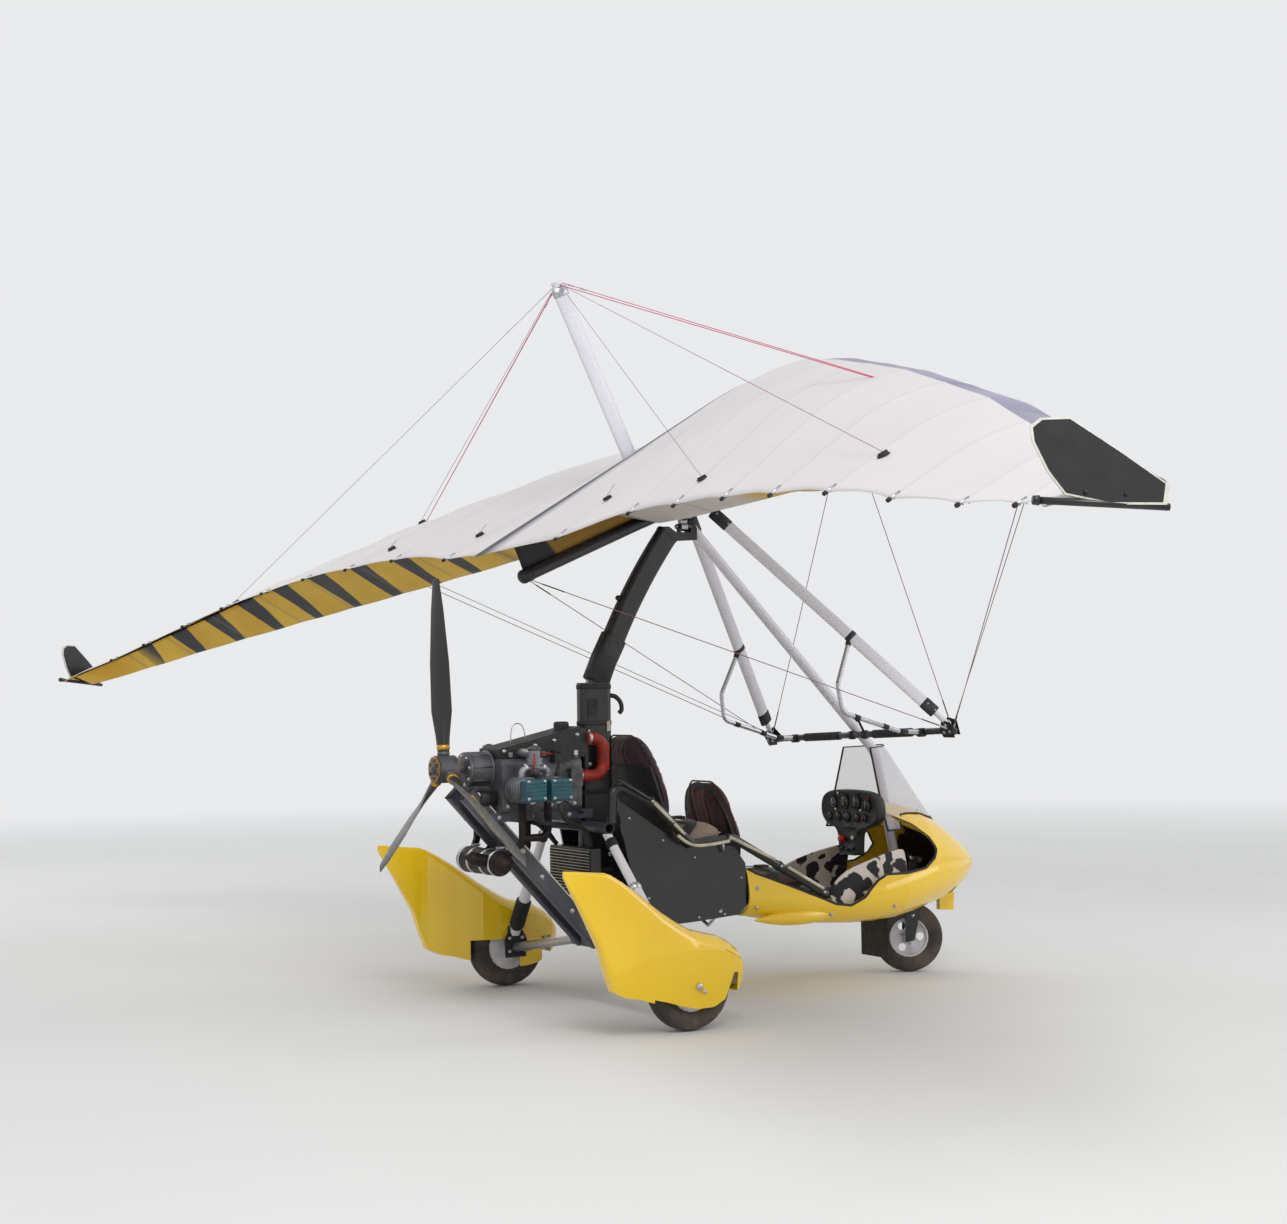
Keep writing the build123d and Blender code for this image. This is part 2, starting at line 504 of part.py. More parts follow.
# Chin fin ahead of the nose wheel, and a long blister low on each side
chin = across(side_face([(HEAD_X + 151, 304), (HEAD_X + 243, 296), (HEAD_X + 249, 382), (HEAD_X + 200, 470),
                         (HEAD_X + 151, 460)]), -13, 13)
BLISTER_X, BLISTER_Y, BLISTER_Z = 1005.0, 300.0, 368.0
BLISTER_HALF, BLISTER_R = 262.0, 38.0
blister = revolve(make_face([ThreePointArc((-BLISTER_HALF, 0), (0, BLISTER_R), (BLISTER_HALF, 0)),
                             Line((BLISTER_HALF, 0), (-BLISTER_HALF, 0))]), Axis.X)
blister = Pos(BLISTER_X, BLISTER_Y, BLISTER_Z) * blister
pod = outer + chin + blister + mirror_y(blister) - inner - across(cockpit, -500, 500) - wheel_arch - strut_hole
keep("pod", pod)
flap = block(WHEELBASE - 225, WHEELBASE - 219, -112, 112, 96, 360)
keep("mud_flap", flap - Pos(0, 0, -GAP) * outer)

# Dark side panels between the pod and the suspension
PANEL_T = 12.0
panel_outline = [
    (0, 990), (20, 962), (380, 725), (430, 738), (640, 726), (705, 640), (705, 440), (660, 402), (430, 387), (316, 382),
    (120, 520), (60, 700),
]
panel = across(side_face(panel_outline), RAIL_Y - 42, RAIL_Y - 42 + PANEL_T)
keep("side_panels", panel + mirror_y(panel))

# Seat moulding over the tank, and the four cushions on it
SEAT_HALF = RAIL_Y - 42 - GAP
seat_line = [(1180, 492), (800, 477.5), (650, 735), (355, 690), (205, 1110)]
seat_under = [(194, 1107), (347, 678), (642, 723), (791, 466.5), (1180, 481)]
seat_pan = across(side_face(seat_line + seat_under), -SEAT_HALF, SEAT_HALF)
BACK_TOP = (640.0, 1015.0)
BACK_END = (765.0, 600.0)
BACK_HALF = 185.0
BACK_THICK = 58.0
seat_pan += across(side_face([(677.6, 890), (794, 503.7), (784.7, 503.7), (667.6, 890)]), -110, 110)


def oval_back(a, b, half, low, high):
    """Rounded seat back from a, its top, to b, between two distances in front of the line from a to b."""
    length = math.hypot(b[0] - a[0], b[1] - a[1])
    angle = math.degrees(math.atan2(b[1] - a[1], b[0] - a[0]))
    top, foot = -length / 2, length / 2
    face = make_face([
        ThreePointArc((top + 70, -0.72 * half), (top, 0), (top + 70, 0.72 * half)),
        ThreePointArc((top + 70, 0.72 * half), (-0.02 * length, half), (foot, 0.62 * half)),
        Line((foot, 0.62 * half), (foot, -0.62 * half)),
        ThreePointArc((foot, -0.62 * half), (-0.02 * length, -half), (top + 70, -0.72 * half)),
    ])
    return (Pos((a[0] + b[0]) / 2, 0, (a[1] + b[1]) / 2) * Rot(0, -angle, 0)
            * Pos(0, 0, low) * extrude(face, amount=high - low))


seat_pan += oval_back(BACK_TOP, BACK_END, BACK_HALF + 6, -9, 0)
notch = block(700, 750, 276, 300, 560, 680)
keep("seat_pan", seat_pan - notch - mirror_y(notch))


def cushion(a, b, thick, half):
    """Pad lying on the pan from point a to point b, with rounded edges."""
    length = math.hypot(b[0] - a[0], b[1] - a[1])
    angle = math.degrees(math.atan2(b[1] - a[1], b[0] - a[0]))
    pad = fillet(Box(length, 2 * half, thick).edges(), 24)
    return Pos((a[0] + b[0]) / 2, 0, (a[1] + b[1]) / 2) * Rot(0, -angle, 0) * Pos(0, 0, thick / 2 + GAP) * pad


keep("front_seat_base", cushion((855, 479.6), (1165, 491.4), 75, 200))
front_back = oval_back(BACK_TOP, BACK_END, BACK_HALF, GAP, BACK_THICK)
keep("front_seat_back", fillet(front_back.edges(), 22))
keep("rear_seat_base", cushion((425, 700.7), (640, 733.5), 58, 210))
keep("rear_seat_back", cushion((160.4, 1235), (315.7, 800), 58, 195))

# Instrument panel on the front strut, with its switch stem
DASH_X = HEAD_X - 378
DASH_T = 55.0
DASH_ARM_Z = 840.0
with BuildSketch() as dash_sketch:
    with BuildLine():
        Polyline((-62, 580), (62, 580), (70, 735), (190, 770), (236, 815), (228, 900), (150, 938), (-150, 938),
                 (-228, 900), (-236, 815), (-190, 770), (-70, 735), (-62, 580))
    make_face()
dash_plane = Plane(origin=(DASH_X - 35, 0, 0), x_dir=(0, 1, 0), z_dir=(1, 0, 0))
dash = extrude(dash_plane * dash_sketch.sketch, amount=DASH_T)
fall = (STRUT_BEND[2] - DASH_ARM_Z) / (STRUT_BEND[2] - strut_end[2])
strut_x = STRUT_BEND[0] + fall * (STRUT_FOOT_X - STRUT_BEND[0])
dash += rod((DASH_X, 0, DASH_ARM_Z), (strut_x, 0, DASH_ARM_Z), 14)
dash -= rod(STRUT_BEND, strut_end, STRUT_TUBE_R + GAP)
keep("instrument_panel", dash)

# Clear windscreen wrapped round the front strut
SCREEN_T = 3.0


def screen_section(side_x, half, mid_x, z):
    arc = ThreePointArc((side_x, -half), (mid_x, 0), (side_x, half))
    back = ThreePointArc((side_x, half - SCREEN_T), (mid_x - SCREEN_T, 0), (side_x, -half + SCREEN_T))
    face = make_face([arc, Line((side_x, half), (side_x, half - SCREEN_T)), back,
                      Line((side_x, -half + SCREEN_T), (side_x, -half))])
    return Pos(0, 0, z) * face


screen = loft([screen_section(HEAD_X - 313, 235, HEAD_X + 112, 760),
               screen_section(HEAD_X - 313, 185, HEAD_X - 232, 1165)], ruled=True)
screen -= Pos(0, 0, GAP) * outer
keep("windscreen", screen)

# Propeller: hub on the gearbox shaft and three blades
HUB_R = 62.0
hub = rod((PROP_X + 45, 0, PROP_Z), (PROP_X - 45, 0, PROP_Z), HUB_R)
hub -= rod((PROP_X + 60, 0, PROP_Z), (SHAFT_END - 4, 0, PROP_Z), SHAFT_R + RUN)
for i in range(6):
    a = math.radians(60 * i)
    y, z = 40 * math.sin(a), PROP_Z + 40 * math.cos(a)
    hub += rod((PROP_X - 44, y, z), (PROP_X - 58, y, z), 7)
keep("propeller_hub", hub)

# columns: radius, chord, thickness, twist in degrees
BLADE_SECTIONS = [
    (HUB_R - 4, 50, 46, 60),
    (150, 66, 36, 52),
    (260, 104, 22, 38),
    (480, 112, 14, 25),
    (720, 84, 9, 17),
    (PROP_R, 46, 5, 13),
]


def blade_section(r, chord, thick, twist):
    face = make_face([
        ThreePointArc((-chord / 2, 0), (-0.05 * chord, thick / 2), (chord / 2, 0)),
        ThreePointArc((chord / 2, 0), (-0.05 * chord, -thick / 2), (-chord / 2, 0)),
    ])
    return Pos(0, 0, r) * Rot(0, 0, 90 + twist) * Rot(0, 0, -90) * face


blade = Pos(PROP_X, 0, PROP_Z) * Rot(0, 0, 90) * loft([blade_section(*row) for row in BLADE_SECTIONS], ruled=True)
blade -= rod((PROP_X + 45 + GAP, 0, PROP_Z), (PROP_X - 45 - GAP, 0, PROP_Z), HUB_R + GAP)
blades = Part()
for i in range(BLADES):
    blades += Pos(0, 0, PROP_Z) * Rot(360 * i / BLADES - PROP_ANGLE, 0, 0) * Pos(0, 0, -PROP_Z) * blade
keep("blades", blades)

# Hang block, in its own frame: lug on the roll bolt, tongue and the eye of the pitch bolt
EYE_HALF = 14.0
hang = rod((-LUG_HALF, 0, 0), (LUG_HALF, 0, 0), 22)
hang += block(-LUG_HALF, LUG_HALF, -EYE_HALF, EYE_HALF, 0, ROLL_DROP)
hang += rod((0, -EYE_HALF, ROLL_DROP), (0, EYE_HALF, ROLL_DROP), 20)
hang -= rod((-60, 0, 0), (60, 0, 0), PIN_R + RUN)
hang -= rod((0, -60, ROLL_DROP), (0, 60, ROLL_DROP), PIN_R + RUN)
keep("hang_block", roll_place(hang))

# Wing frame tubes
NOSE_X = 1205.0
TAIL_X = -931.0
JUNCTION = (-213.0, 2810.0, 17.0)
TIP = (-1398.0, 4430.0, 44.0)
LE_R = 29.0
keel = rod((TAIL_X, 0, 0), (NOSE_X, 0, 0), KEEL_R, TUBE_WALL)
keel += rod((-40, 0, 0), (40, 0, 0), KEEL_R + 10, 11)
cheek = block(-16, 16, EYE_HALF + GAP, EYE_HALF + GAP + PLATE, -PITCH_DROP, -KEEL_R - 2)
cheek += rod((0, EYE_HALF + GAP, -PITCH_DROP), (0, EYE_HALF + GAP + PLATE, -PITCH_DROP), 16)
bolt_half = EYE_HALF + GAP + PLATE + 8
keel += cheek + mirror_y(cheek)
keel += rod((0, -bolt_half, -PITCH_DROP), (0, bolt_half, -PITCH_DROP), PIN_R)
keep("keel_tube", wing_place(keel))

LE_START = (NOSE_X - 25, 66.0, 0.0)
LE_MID = (-840.0, 3820.0, 26.0)
LE_BEND = 900.0
le = bent([LE_START, JUNCTION, LE_MID, TIP], LE_R, LE_BEND, TUBE_WALL)
le_solid = bent([LE_START, JUNCTION, LE_MID, TIP], LE_R + GAP, LE_BEND)
keep("leading_edges", wing_place(le + mirror_y(le)))

nose_plate = None
for z0 in (LE_R + GAP, -LE_R - GAP - 5):
    plate = Pos(0, 0, z0) * extrude(make_face(Polyline(
        (NOSE_X - 20, 28), (NOSE_X - 20, -28), (NOSE_X - 150, -130), (NOSE_X - 200, -60), (NOSE_X - 200, 60),
        (NOSE_X - 150, 130), close=True)), amount=5)
    nose_plate = plate if nose_plate is None else nose_plate + plate
nose_plate -= rod((0, 0, 0), (NOSE_X + 50, 0, 0), KEEL_R + GAP)
keep("nose_plates", wing_place(nose_plate))

XBAR_X = -216.0
XBAR_R = 30.0
xbar_run = ((XBAR_X, 0, KEEL_R + XBAR_R + 2 * GAP), (XBAR_X, JUNCTION[1], JUNCTION[2]))
xbar = rod(*xbar_run, XBAR_R, TUBE_WALL) - le_solid
xbar -= block(XBAR_X - 50, XBAR_X + 300, JUNCTION[1] - 50, JUNCTION[1] + 100, -50, 100)
xbar -= block(XBAR_X - 50, XBAR_X + 50, -50, GAP / 2, 0, 200)
keep("crossbars", wing_place(xbar + mirror_y(xbar)))

KING_X = -143.0
KING_TOP = (-177.0, 0.0, 1185.0)
KING_CHORD = 80.0
KING_THICK = 36.0
KING_CAP_R = 26.0
KING_FOOT = (KING_X, 0, KEEL_R - 8)
KING_TIP = (KING_TOP[0] - 1, 0, KING_TOP[2] + 26)
king = faired(KING_FOOT, KING_TOP, KING_CHORD, KING_THICK, TUBE_WALL)
king -= rod((TAIL_X, 0, 0), (NOSE_X, 0, 0), KEEL_R + GAP)
king += rod(KING_TOP, KING_TIP, KING_CAP_R)
keep("king_post", wing_place(king))

# Control frame
BAR_X, BAR_HALF, BAR_DROP = 499.0, 754.0, 1444.0
BAR_R = 16.0
APEX_X, APEX_Y, APEX_DROP = 95.0, 82.0, 62.0
UPRIGHT_CHORD = 66.0
UPRIGHT_THICK = 30.0
PLUG_R = 13.0            # round plugs at both ends of an upright
apex = block(APEX_X - 32, APEX_X + 32, -APEX_Y - 14, APEX_Y + 14, -APEX_DROP + 14, -KEEL_R + 6)
apex -= rod((0, 0, 0), (300, 0, 0), KEEL_R + GAP)
keep("apex_bracket", wing_place(apex))
up_top = (APEX_X + 2, APEX_Y, -APEX_DROP + 10)
up_foot = (BAR_X, BAR_HALF - 8, -BAR_DROP + 24)


def on_upright(length):
    """Point of the upright's axis at a distance from its upper end."""
    a, b = vec(up_top), vec(up_foot)
    return tuple(a + (b - a).normalized() * length)


UPRIGHT_LENGTH = (vec(up_foot) - vec(up_top)).length
FAIRED_FROM, FAIRED_TO = 46.0, UPRIGHT_LENGTH - 96
upright = faired(on_upright(FAIRED_FROM), on_upright(FAIRED_TO), UPRIGHT_CHORD, UPRIGHT_THICK, TUBE_WALL)
for a, b in ((FAIRED_FROM, FAIRED_FROM + 12), (FAIRED_TO - 12, FAIRED_TO)):
    upright += faired(on_upright(a), on_upright(b), UPRIGHT_CHORD, UPRIGHT_THICK)
upright += rod(up_top, on_upright(FAIRED_FROM + 6), PLUG_R) + rod(on_upright(FAIRED_TO - 6), up_foot, PLUG_R)
upright -= block(APEX_X - 60, APEX_X + 60, 0, 200, -APEX_DROP + 14 - GAP, 100)
upright_solid = faired(on_upright(FAIRED_FROM - GAP), on_upright(FAIRED_TO + GAP), UPRIGHT_CHORD + 2 * GAP,
                       UPRIGHT_THICK + 2 * GAP) + rod(up_top, up_foot, PLUG_R + GAP)
keep("uprights", wing_place(upright + mirror_y(upright)))
bar = rod((BAR_X, -BAR_HALF, -BAR_DROP), (BAR_X, BAR_HALF, -BAR_DROP), BAR_R, TUBE_WALL)
for side in (-1, 1):
    knuckle = Pos(BAR_X, side * BAR_HALF, -BAR_DROP) * Sphere(24)
    bar += knuckle
bar = bar - upright_solid - mirror_y(upright_solid)
keep("base_bar", wing_place(bar))

# Training bars: bent handles behind the uprights, from half way down to the base bar
TRAIN_R, TRAIN_BEND, TRAIN_WALL = 11.0, 50.0, 2.0
train_y = BAR_HALF - 244
train = bent([on_upright(938), (150, train_y - 8, -1040), (112, train_y, -1170), (375, train_y + 10, -1385),
              (BAR_X - 8, train_y + 16, -BAR_DROP + 2)], TRAIN_R, TRAIN_BEND, TRAIN_WALL)
train -= upright_solid
train -= rod((BAR_X, 0, -BAR_DROP), (BAR_X, 900, -BAR_DROP), BAR_R + GAP)
keep("training_bars", wing_place(train + mirror_y(train)))

# Sail. Each half is a thin upper skin and a thin lower skin, lofted through rib sections.
# The two halves billow differently as parked, so each has its own trailing edge and crest.
# columns: y, leading edge x, its z, trailing edge x, crest along the chord, slope of the straight tail over the
# mean slope behind the crest, underside z, then trailing edge z and crest height on the left and on the right
SAIL_RIBS = [
    (2.4, 1283, 0, -1115, 0.21, 1.12, -36, 176, 371, 176, 371),
    (500, 1035, 2, -1000, 0.24, 1.20, -36, 171, 225, 154, 407),
    (1100, 727, 5, -965, 0.27, 1.30, -36, 223, 222, 189, 378),
    (2000, 270, 12, -1090, 0.30, 1.35, -34, 260, 173, 185, 264),
    (2850, -160, 16, -1265, 0.32, 1.35, -22, 240, 118, 158, 125),
    (3600, -605, 20, -1440, 0.32, 1.35, 0, 181, 105, 85, 105),
    (4200, -1065, 32, -1620, 0.32, 1.35, 12, 131, 98, 72, 96),
    (4470, -1362, 38, -1844, 0.32, 1.30, 30, 118, 70, 108, 70),
    (4625, -1535, 44, -1645, 0.32, 1.20, 38, 80, 16, 80, 16),
]
SAIL_T = 5.0
LOWER_FLAT = 0.62        # the lower skin is flat up to here, then rises to the upper one
LOWER_END = 0.80
LOWER_Y0 = 36.0          # the lower skin starts beside the keel tube
TUCK = 72.0              # length of the part that wraps under the leading edge tube


class Rib:
    """Section of the sail at one y: a chord line with two arcs and a straight tail over it."""

    def __init__(self, row, left=True):
        self.y, self.xl, self.zl, xt, crest_at, tail, self.under = row[:7]
        zt, self.h = row[7:9] if left else row[9:]
        self.c = math.hypot(xt - self.xl, zt - self.zl)
        self.along = ((xt - self.xl) / self.c, (zt - self.zl) / self.c)
        self.a = crest_at * self.c
        self.phi = tail * math.atan(self.h / (self.c - self.a))
        rear = (self.c - self.a) * math.sin(self.phi) - self.h * math.cos(self.phi)
        self.r1 = (self.a ** 2 + self.h ** 2) / (2 * self.h)
        self.r2 = rear / (1 - math.cos(self.phi))
        self.start = math.asin(min(self.a / self.r1, 1.0))

    def at(self, s, n):
        """Point at distance s along the chord and n over it."""
        return (self.xl + self.along[0] * s + self.along[1] * n, self.y,
                self.zl + self.along[1] * s - self.along[0] * n)

    def front(self, t, angle):
        r = self.r1 - t
        return self.at(self.a - r * math.sin(angle), self.h - self.r1 + r * math.cos(angle))

    def rear(self, t, angle):
        r = self.r2 - t
        return self.at(self.a + r * math.sin(angle), self.h - self.r2 + r * math.cos(angle))

    def top(self):
        """Outer line of the upper skin, from the leading to the trailing edge."""
        return [
            ThreePointArc(self.front(0, self.start), self.front(0, self.start / 2), self.front(0, 0)),
            ThreePointArc(self.rear(0, 0), self.rear(0, self.phi / 2), self.rear(0, self.phi)),
            Line(self.rear(0, self.phi), self.at(self.c, 0)),
        ]

    def upper(self):
        t = SAIL_T
        tail = self.at(self.c - t * math.sin(self.phi), -t * math.cos(self.phi))
        return make_face(self.top() + [
            Line(self.at(self.c, 0), tail),
            Line(tail, self.rear(t, self.phi)),
            ThreePointArc(self.rear(t, self.phi), self.rear(t, self.phi / 2), self.rear(t, 0)),
            ThreePointArc(self.front(t, 0), self.front(t, self.start / 2), self.front(t, self.start)),
            Line(self.front(t, self.start), self.front(0, self.start)),
        ])

    def inner_height(self, s):
        """Height over the chord of the upper skin's inner side, behind the crest."""
        r, x = self.r2 - SAIL_T, s - self.a
        if x <= r * math.sin(self.phi):
            return self.h - self.r2 + math.sqrt(r * r - x * x)
        return self.h - self.r2 + r * math.cos(self.phi) - (x - r * math.sin(self.phi)) * math.tan(self.phi)

    def lower(self):
        t = SAIL_T
        tuck = min(TUCK, 0.3 * self.c)
        x_flat = self.xl + self.along[0] * LOWER_FLAT * self.c
        xe, _, ze = self.at(LOWER_END * self.c, self.inner_height(LOWER_END * self.c) - 2 * t)
        line = [(self.xl - 6, self.zl - 2), (self.xl - tuck, self.zl - min(36, 0.5 * tuck)), (x_flat, self.under), (xe, ze)]
        low = [(x, self.y, z - t) for x, z in line]
        high = [(x, self.y, z) for x, z in line]
        return make_face(Polyline(*low, *reversed(high), close=True))


def between(row_a, row_b, y):
    k = (y - row_a[0]) / (row_b[0] - row_a[0])
    return tuple(a + k * (b - a) for a, b in zip(row_a, row_b))


def skins(left):
    """Upper and lower skin of one half, both at positive y."""
    ribs = [Rib(row, left) for row in SAIL_RIBS]
    low_ribs = [Rib(between(SAIL_RIBS[0], SAIL_RIBS[1], LOWER_Y0), left)] + ribs[1:]
    return loft([rib.upper() for rib in ribs], ruled=True), loft([rib.lower() for rib in low_ribs], ruled=True)


# Main stays: from the king post to the junctions, and from the control frame to nose, tail and junctions
WIRE_R = 2.0
WIRE_HOLE = 8.0


def stay(a, b, gap_a, gap_b, r):
    """Straight wire from a to b that stops short of each by its gap."""
    a, b = vec(a), vec(b)
    d = (b - a).normalized()
    return rod(tuple(a + d * gap_a), tuple(b - d * gap_b), r)


KNUCKLE_R = 24.0
king_eye = (KING_TOP[0], 0, KING_TOP[2] + 13)
corner = (BAR_X, BAR_HALF, -BAR_DROP)
top_run = (king_eye, JUNCTION, KING_CAP_R + 1, LE_R + GAP)
low_runs = [
    (corner, (NOSE_X - 90, 46, -LE_R - GAP - 5 - WIRE_R), KNUCKLE_R + GAP, GAP),
    (corner, (TAIL_X + 30, 12, -KEEL_R - WIRE_R + 2), KNUCKLE_R + GAP, GAP),
    (corner, JUNCTION, KNUCKLE_R + GAP, LE_R + GAP),
]
# Winglets: thin fins on the raked tips, toed in and leaning inwards, with a tube along the foot
FIN_T = 10.0
FIN_TUBE_R = 9.0
FIN_FRONT = (-1555.0, 4640.0, 44.0)
FIN_POINTS = (FIN_FRONT, (-1838.0, 4470.0, 109.0), (-1791.0, 4421.0, 360.0), (-1676.0, 4493.0, 312.0))
fin_normal = (vec(FIN_POINTS[1]) - vec(FIN_FRONT)).cross(vec(FIN_POINTS[3]) - vec(FIN_FRONT)).normalized()
fin_plane = Plane(origin=FIN_FRONT, x_dir=vec(FIN_POINTS[1]) - vec(FIN_FRONT), z_dir=fin_normal)
fin_outline = [fin_plane.to_local_coords(vec(p)) for p in FIN_POINTS]
fin_face = make_face(Polyline(*[(p.X, p.Y) for p in fin_outline], close=True))
fin = Pos(fin_normal * (-FIN_T / 2)) * extrude(fin_plane * fin_face, amount=FIN_T)
fin_foot = (FIN_FRONT, FIN_POINTS[1])
fin += rod(*fin_foot, FIN_TUBE_R)
keep("winglets", wing_place(fin + mirror_y(fin)))
beyond_fin = Pos(fin_normal * (-FIN_T / 2 - GAP)) * extrude(fin_plane * Rectangle(1200, 1200), amount=200)
beyond_fin += rod(*fin_foot, FIN_TUBE_R + GAP)

for name, left in (("left", True), ("right", False)):
    upper_skin, lower_skin = skins(left)
    upper_skin -= faired(KING_FOOT, KING_TOP, KING_CHORD + 12, KING_THICK + 12)
    upper_skin -= stay(*top_run, WIRE_HOLE)
    for run in low_runs:
        lower_skin -= stay(*run, WIRE_HOLE)
    lower_skin -= block(APEX_X - 33, APEX_X + 33, -10, APEX_Y + 15, -60, 0)
    upper_skin -= beyond_fin
    lower_skin -= beyond_fin
    keep("sail_upper_" + name, wing_place(upper_skin if left else mirror_y(upper_skin)))
    keep("sail_lower_" + name, wing_place(lower_skin if left else mirror_y(lower_skin)))
xbar_solid = rod(*xbar_run, XBAR_R + GAP)
up_wire = stay(*top_run, WIRE_R) - le_solid - xbar_solid - rod(KING_TOP, KING_TIP, KING_CAP_R + GAP)
keep("upper_stays", wing_place(up_wire + mirror_y(up_wire)))
low_wires = [stay(*run, WIRE_R) for run in low_runs]
low_wires = [wire - upright_solid - le_solid - xbar_solid for wire in low_wires]
lower_stays = low_wires[0]
for wire in low_wires[1:] + [mirror_y(wire) for wire in low_wires]:
    lower_stays += wire
keep("lower_stays", wing_place(lower_stays))

# Keel pocket: the cloth web between the sail's centre line and the keel tube
POCKET_X = -925.0
root = Rib((0,) + SAIL_RIBS[0][1:])
pocket_face = make_face(root.top() + [
    Line(root.at(root.c, 0), (POCKET_X, 0, 0)), Line((POCKET_X, 0, 0), root.front(0, root.start)),
])
pocket = across(pocket_face, -2, 2)
pocket -= block(-1300, 1400, -10, 10, -100, KEEL_R + 6)
pocket += block(POCKET_X + 6, 940, -2, 2, KEEL_R + GAP, KEEL_R + 8)
pocket -= faired(KING_FOOT, KING_TOP, KING_CHORD + 2 * GAP, KING_THICK + 2 * GAP)
pocket -= block(XBAR_X - XBAR_R - 4, XBAR_X + XBAR_R + 4, -10, 10, 0, KEEL_R + 2 * XBAR_R + 6)
pocket -= block(-46, 46, -10, 10, 0, KEEL_R + 20)
keep("keel_pocket", wing_place(pocket))

os.makedirs("parts", exist_ok=True)
for name, shape in parts.items():
    export_step(shape, "parts/%s.step" % name)
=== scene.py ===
import bpy
import bmesh
import math
from mathutils import Matrix, Vector
from mathutils.bvhtree import BVHTree


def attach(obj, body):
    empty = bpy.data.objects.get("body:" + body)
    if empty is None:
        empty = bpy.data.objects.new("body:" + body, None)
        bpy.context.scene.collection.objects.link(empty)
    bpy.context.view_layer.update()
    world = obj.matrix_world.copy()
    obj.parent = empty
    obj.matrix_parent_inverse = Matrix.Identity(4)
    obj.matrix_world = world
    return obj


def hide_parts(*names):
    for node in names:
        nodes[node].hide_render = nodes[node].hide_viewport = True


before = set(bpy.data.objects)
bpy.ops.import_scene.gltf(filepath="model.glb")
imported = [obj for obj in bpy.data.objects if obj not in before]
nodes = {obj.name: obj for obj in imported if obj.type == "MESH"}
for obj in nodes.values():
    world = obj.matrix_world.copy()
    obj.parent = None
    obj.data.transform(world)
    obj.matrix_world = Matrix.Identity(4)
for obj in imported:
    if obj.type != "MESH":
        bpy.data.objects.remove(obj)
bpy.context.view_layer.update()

# Sizes shared with the part's source
AXLE_X = -0.538
HANG = (0.550, 2.354)
PITCH_DROP, ROLL_DROP = 0.066, 0.044
WING_PITCH = math.radians(22.86)
WING_ROLL = math.radians(-2.35)
NOSE_X, TAIL_X = 1.205, -0.931
KING_FOOT, KING_TOP = Vector((-0.143, 0, 0.031)), Vector((-0.177, 0, 1.185))
BAR_X, BAR_HALF, BAR_DROP = 0.499, 0.754, 1.444
JUNCTION = Vector((-0.213, 2.810, 0.017))
PROP_X, PROP_Z, PROP_ANGLE = -0.715, 1.121, 4.63

pin_x = HANG[0] + PITCH_DROP * math.sin(WING_PITCH)
roll_z = HANG[1] - PITCH_DROP * math.cos(WING_PITCH) - ROLL_DROP
WING = (Matrix.Translation((pin_x + AXLE_X, 0, roll_z)) @ Matrix.Rotation(WING_ROLL, 4, "X")
        @ Matrix.Translation((0, 0, ROLL_DROP)) @ Matrix.Rotation(-WING_PITCH, 4, "Y")
        @ Matrix.Translation((0, 0, PITCH_DROP)))
TRIKE = Matrix.Translation((AXLE_X, 0, 0))


# ---------------------------------------------------------------- materials
def srgb(r, g, b):
    return tuple(c / 12.92 if c <= 0.04045 else ((c + 0.055) / 1.055) ** 2.4 for c in (r, g, b)) + (1.0,)


class Shader:
    """One node material, with short ways to add and link its nodes."""

    def __init__(self, name):
        self.material = bpy.data.materials.new(name)
        self.material.use_nodes = True
        self.tree = self.material.node_tree
        self.bsdf = self.tree.nodes["Principled BSDF"]
        self.place = self.add("ShaderNodeTexCoord")

    def add(self, kind, values=None, **properties):
        node = self.tree.nodes.new(kind)
        for key, value in properties.items():
            setattr(node, key, value)
        for key, value in (values or {}).items():
            node.inputs[key].default_value = value
        return node

    def link(self, a, b):
        self.tree.links.new(a, b)

    def maths(self, operation, a, b=None, clamp=False):
        node = self.add("ShaderNodeMath", operation=operation, use_clamp=clamp)
        for socket, value in zip(node.inputs, (a, b)):
            if value is None:
                continue
            if isinstance(value, (int, float)):
                socket.default_value = value
            else:
                self.link(value, socket)
        return node.outputs[0]

    def mix(self, factor, a, b):
        node = self.add("ShaderNodeMix", data_type="RGBA")
        for socket, value in ((node.inputs[0], factor), (node.inputs[6], a), (node.inputs[7], b)):
            if isinstance(value, (tuple, int, float)):
                socket.default_value = value
            else:
                self.link(value, socket)
        return node.outputs[2]

    def noise(self, scale, detail=3.0, coords="Object", roughness=0.5):
        node = self.add("ShaderNodeTexNoise", {"Scale": scale, "Detail": detail, "Roughness": roughness})
        self.link(self.place.outputs[coords], node.inputs["Vector"])
        return node.outputs["Fac"]

    def span(self, value, low, high, to_low=0.0, to_high=1.0):
        node = self.add("ShaderNodeMapRange",
            {"From Min": low, "From Max": high, "To Min": to_low, "To Max": to_high})
        self.link(value, node.inputs["Value"])
        return node.outputs[0]

    def bump(self, height, strength, distance=0.001):
        node = self.add("ShaderNodeBump", {"Strength": strength, "Distance": distance})
        self.link(height, node.inputs["Height"])
        self.link(node.outputs[0], self.bsdf.inputs["Normal"])

    def constant(self, **values):
        names = {"metallic": "Metallic", "coat": "Coat Weight", "coat_rough": "Coat Roughness",
            "sheen": "Sheen Weight",
                 "sheen_rough": "Sheen Roughness", "ior": "IOR", "through": "Transmission Weight",
                     "alpha": "Alpha",
                 "rough": "Roughness"}
        for key, value in values.items():
            self.bsdf.inputs[names[key]].default_value = value


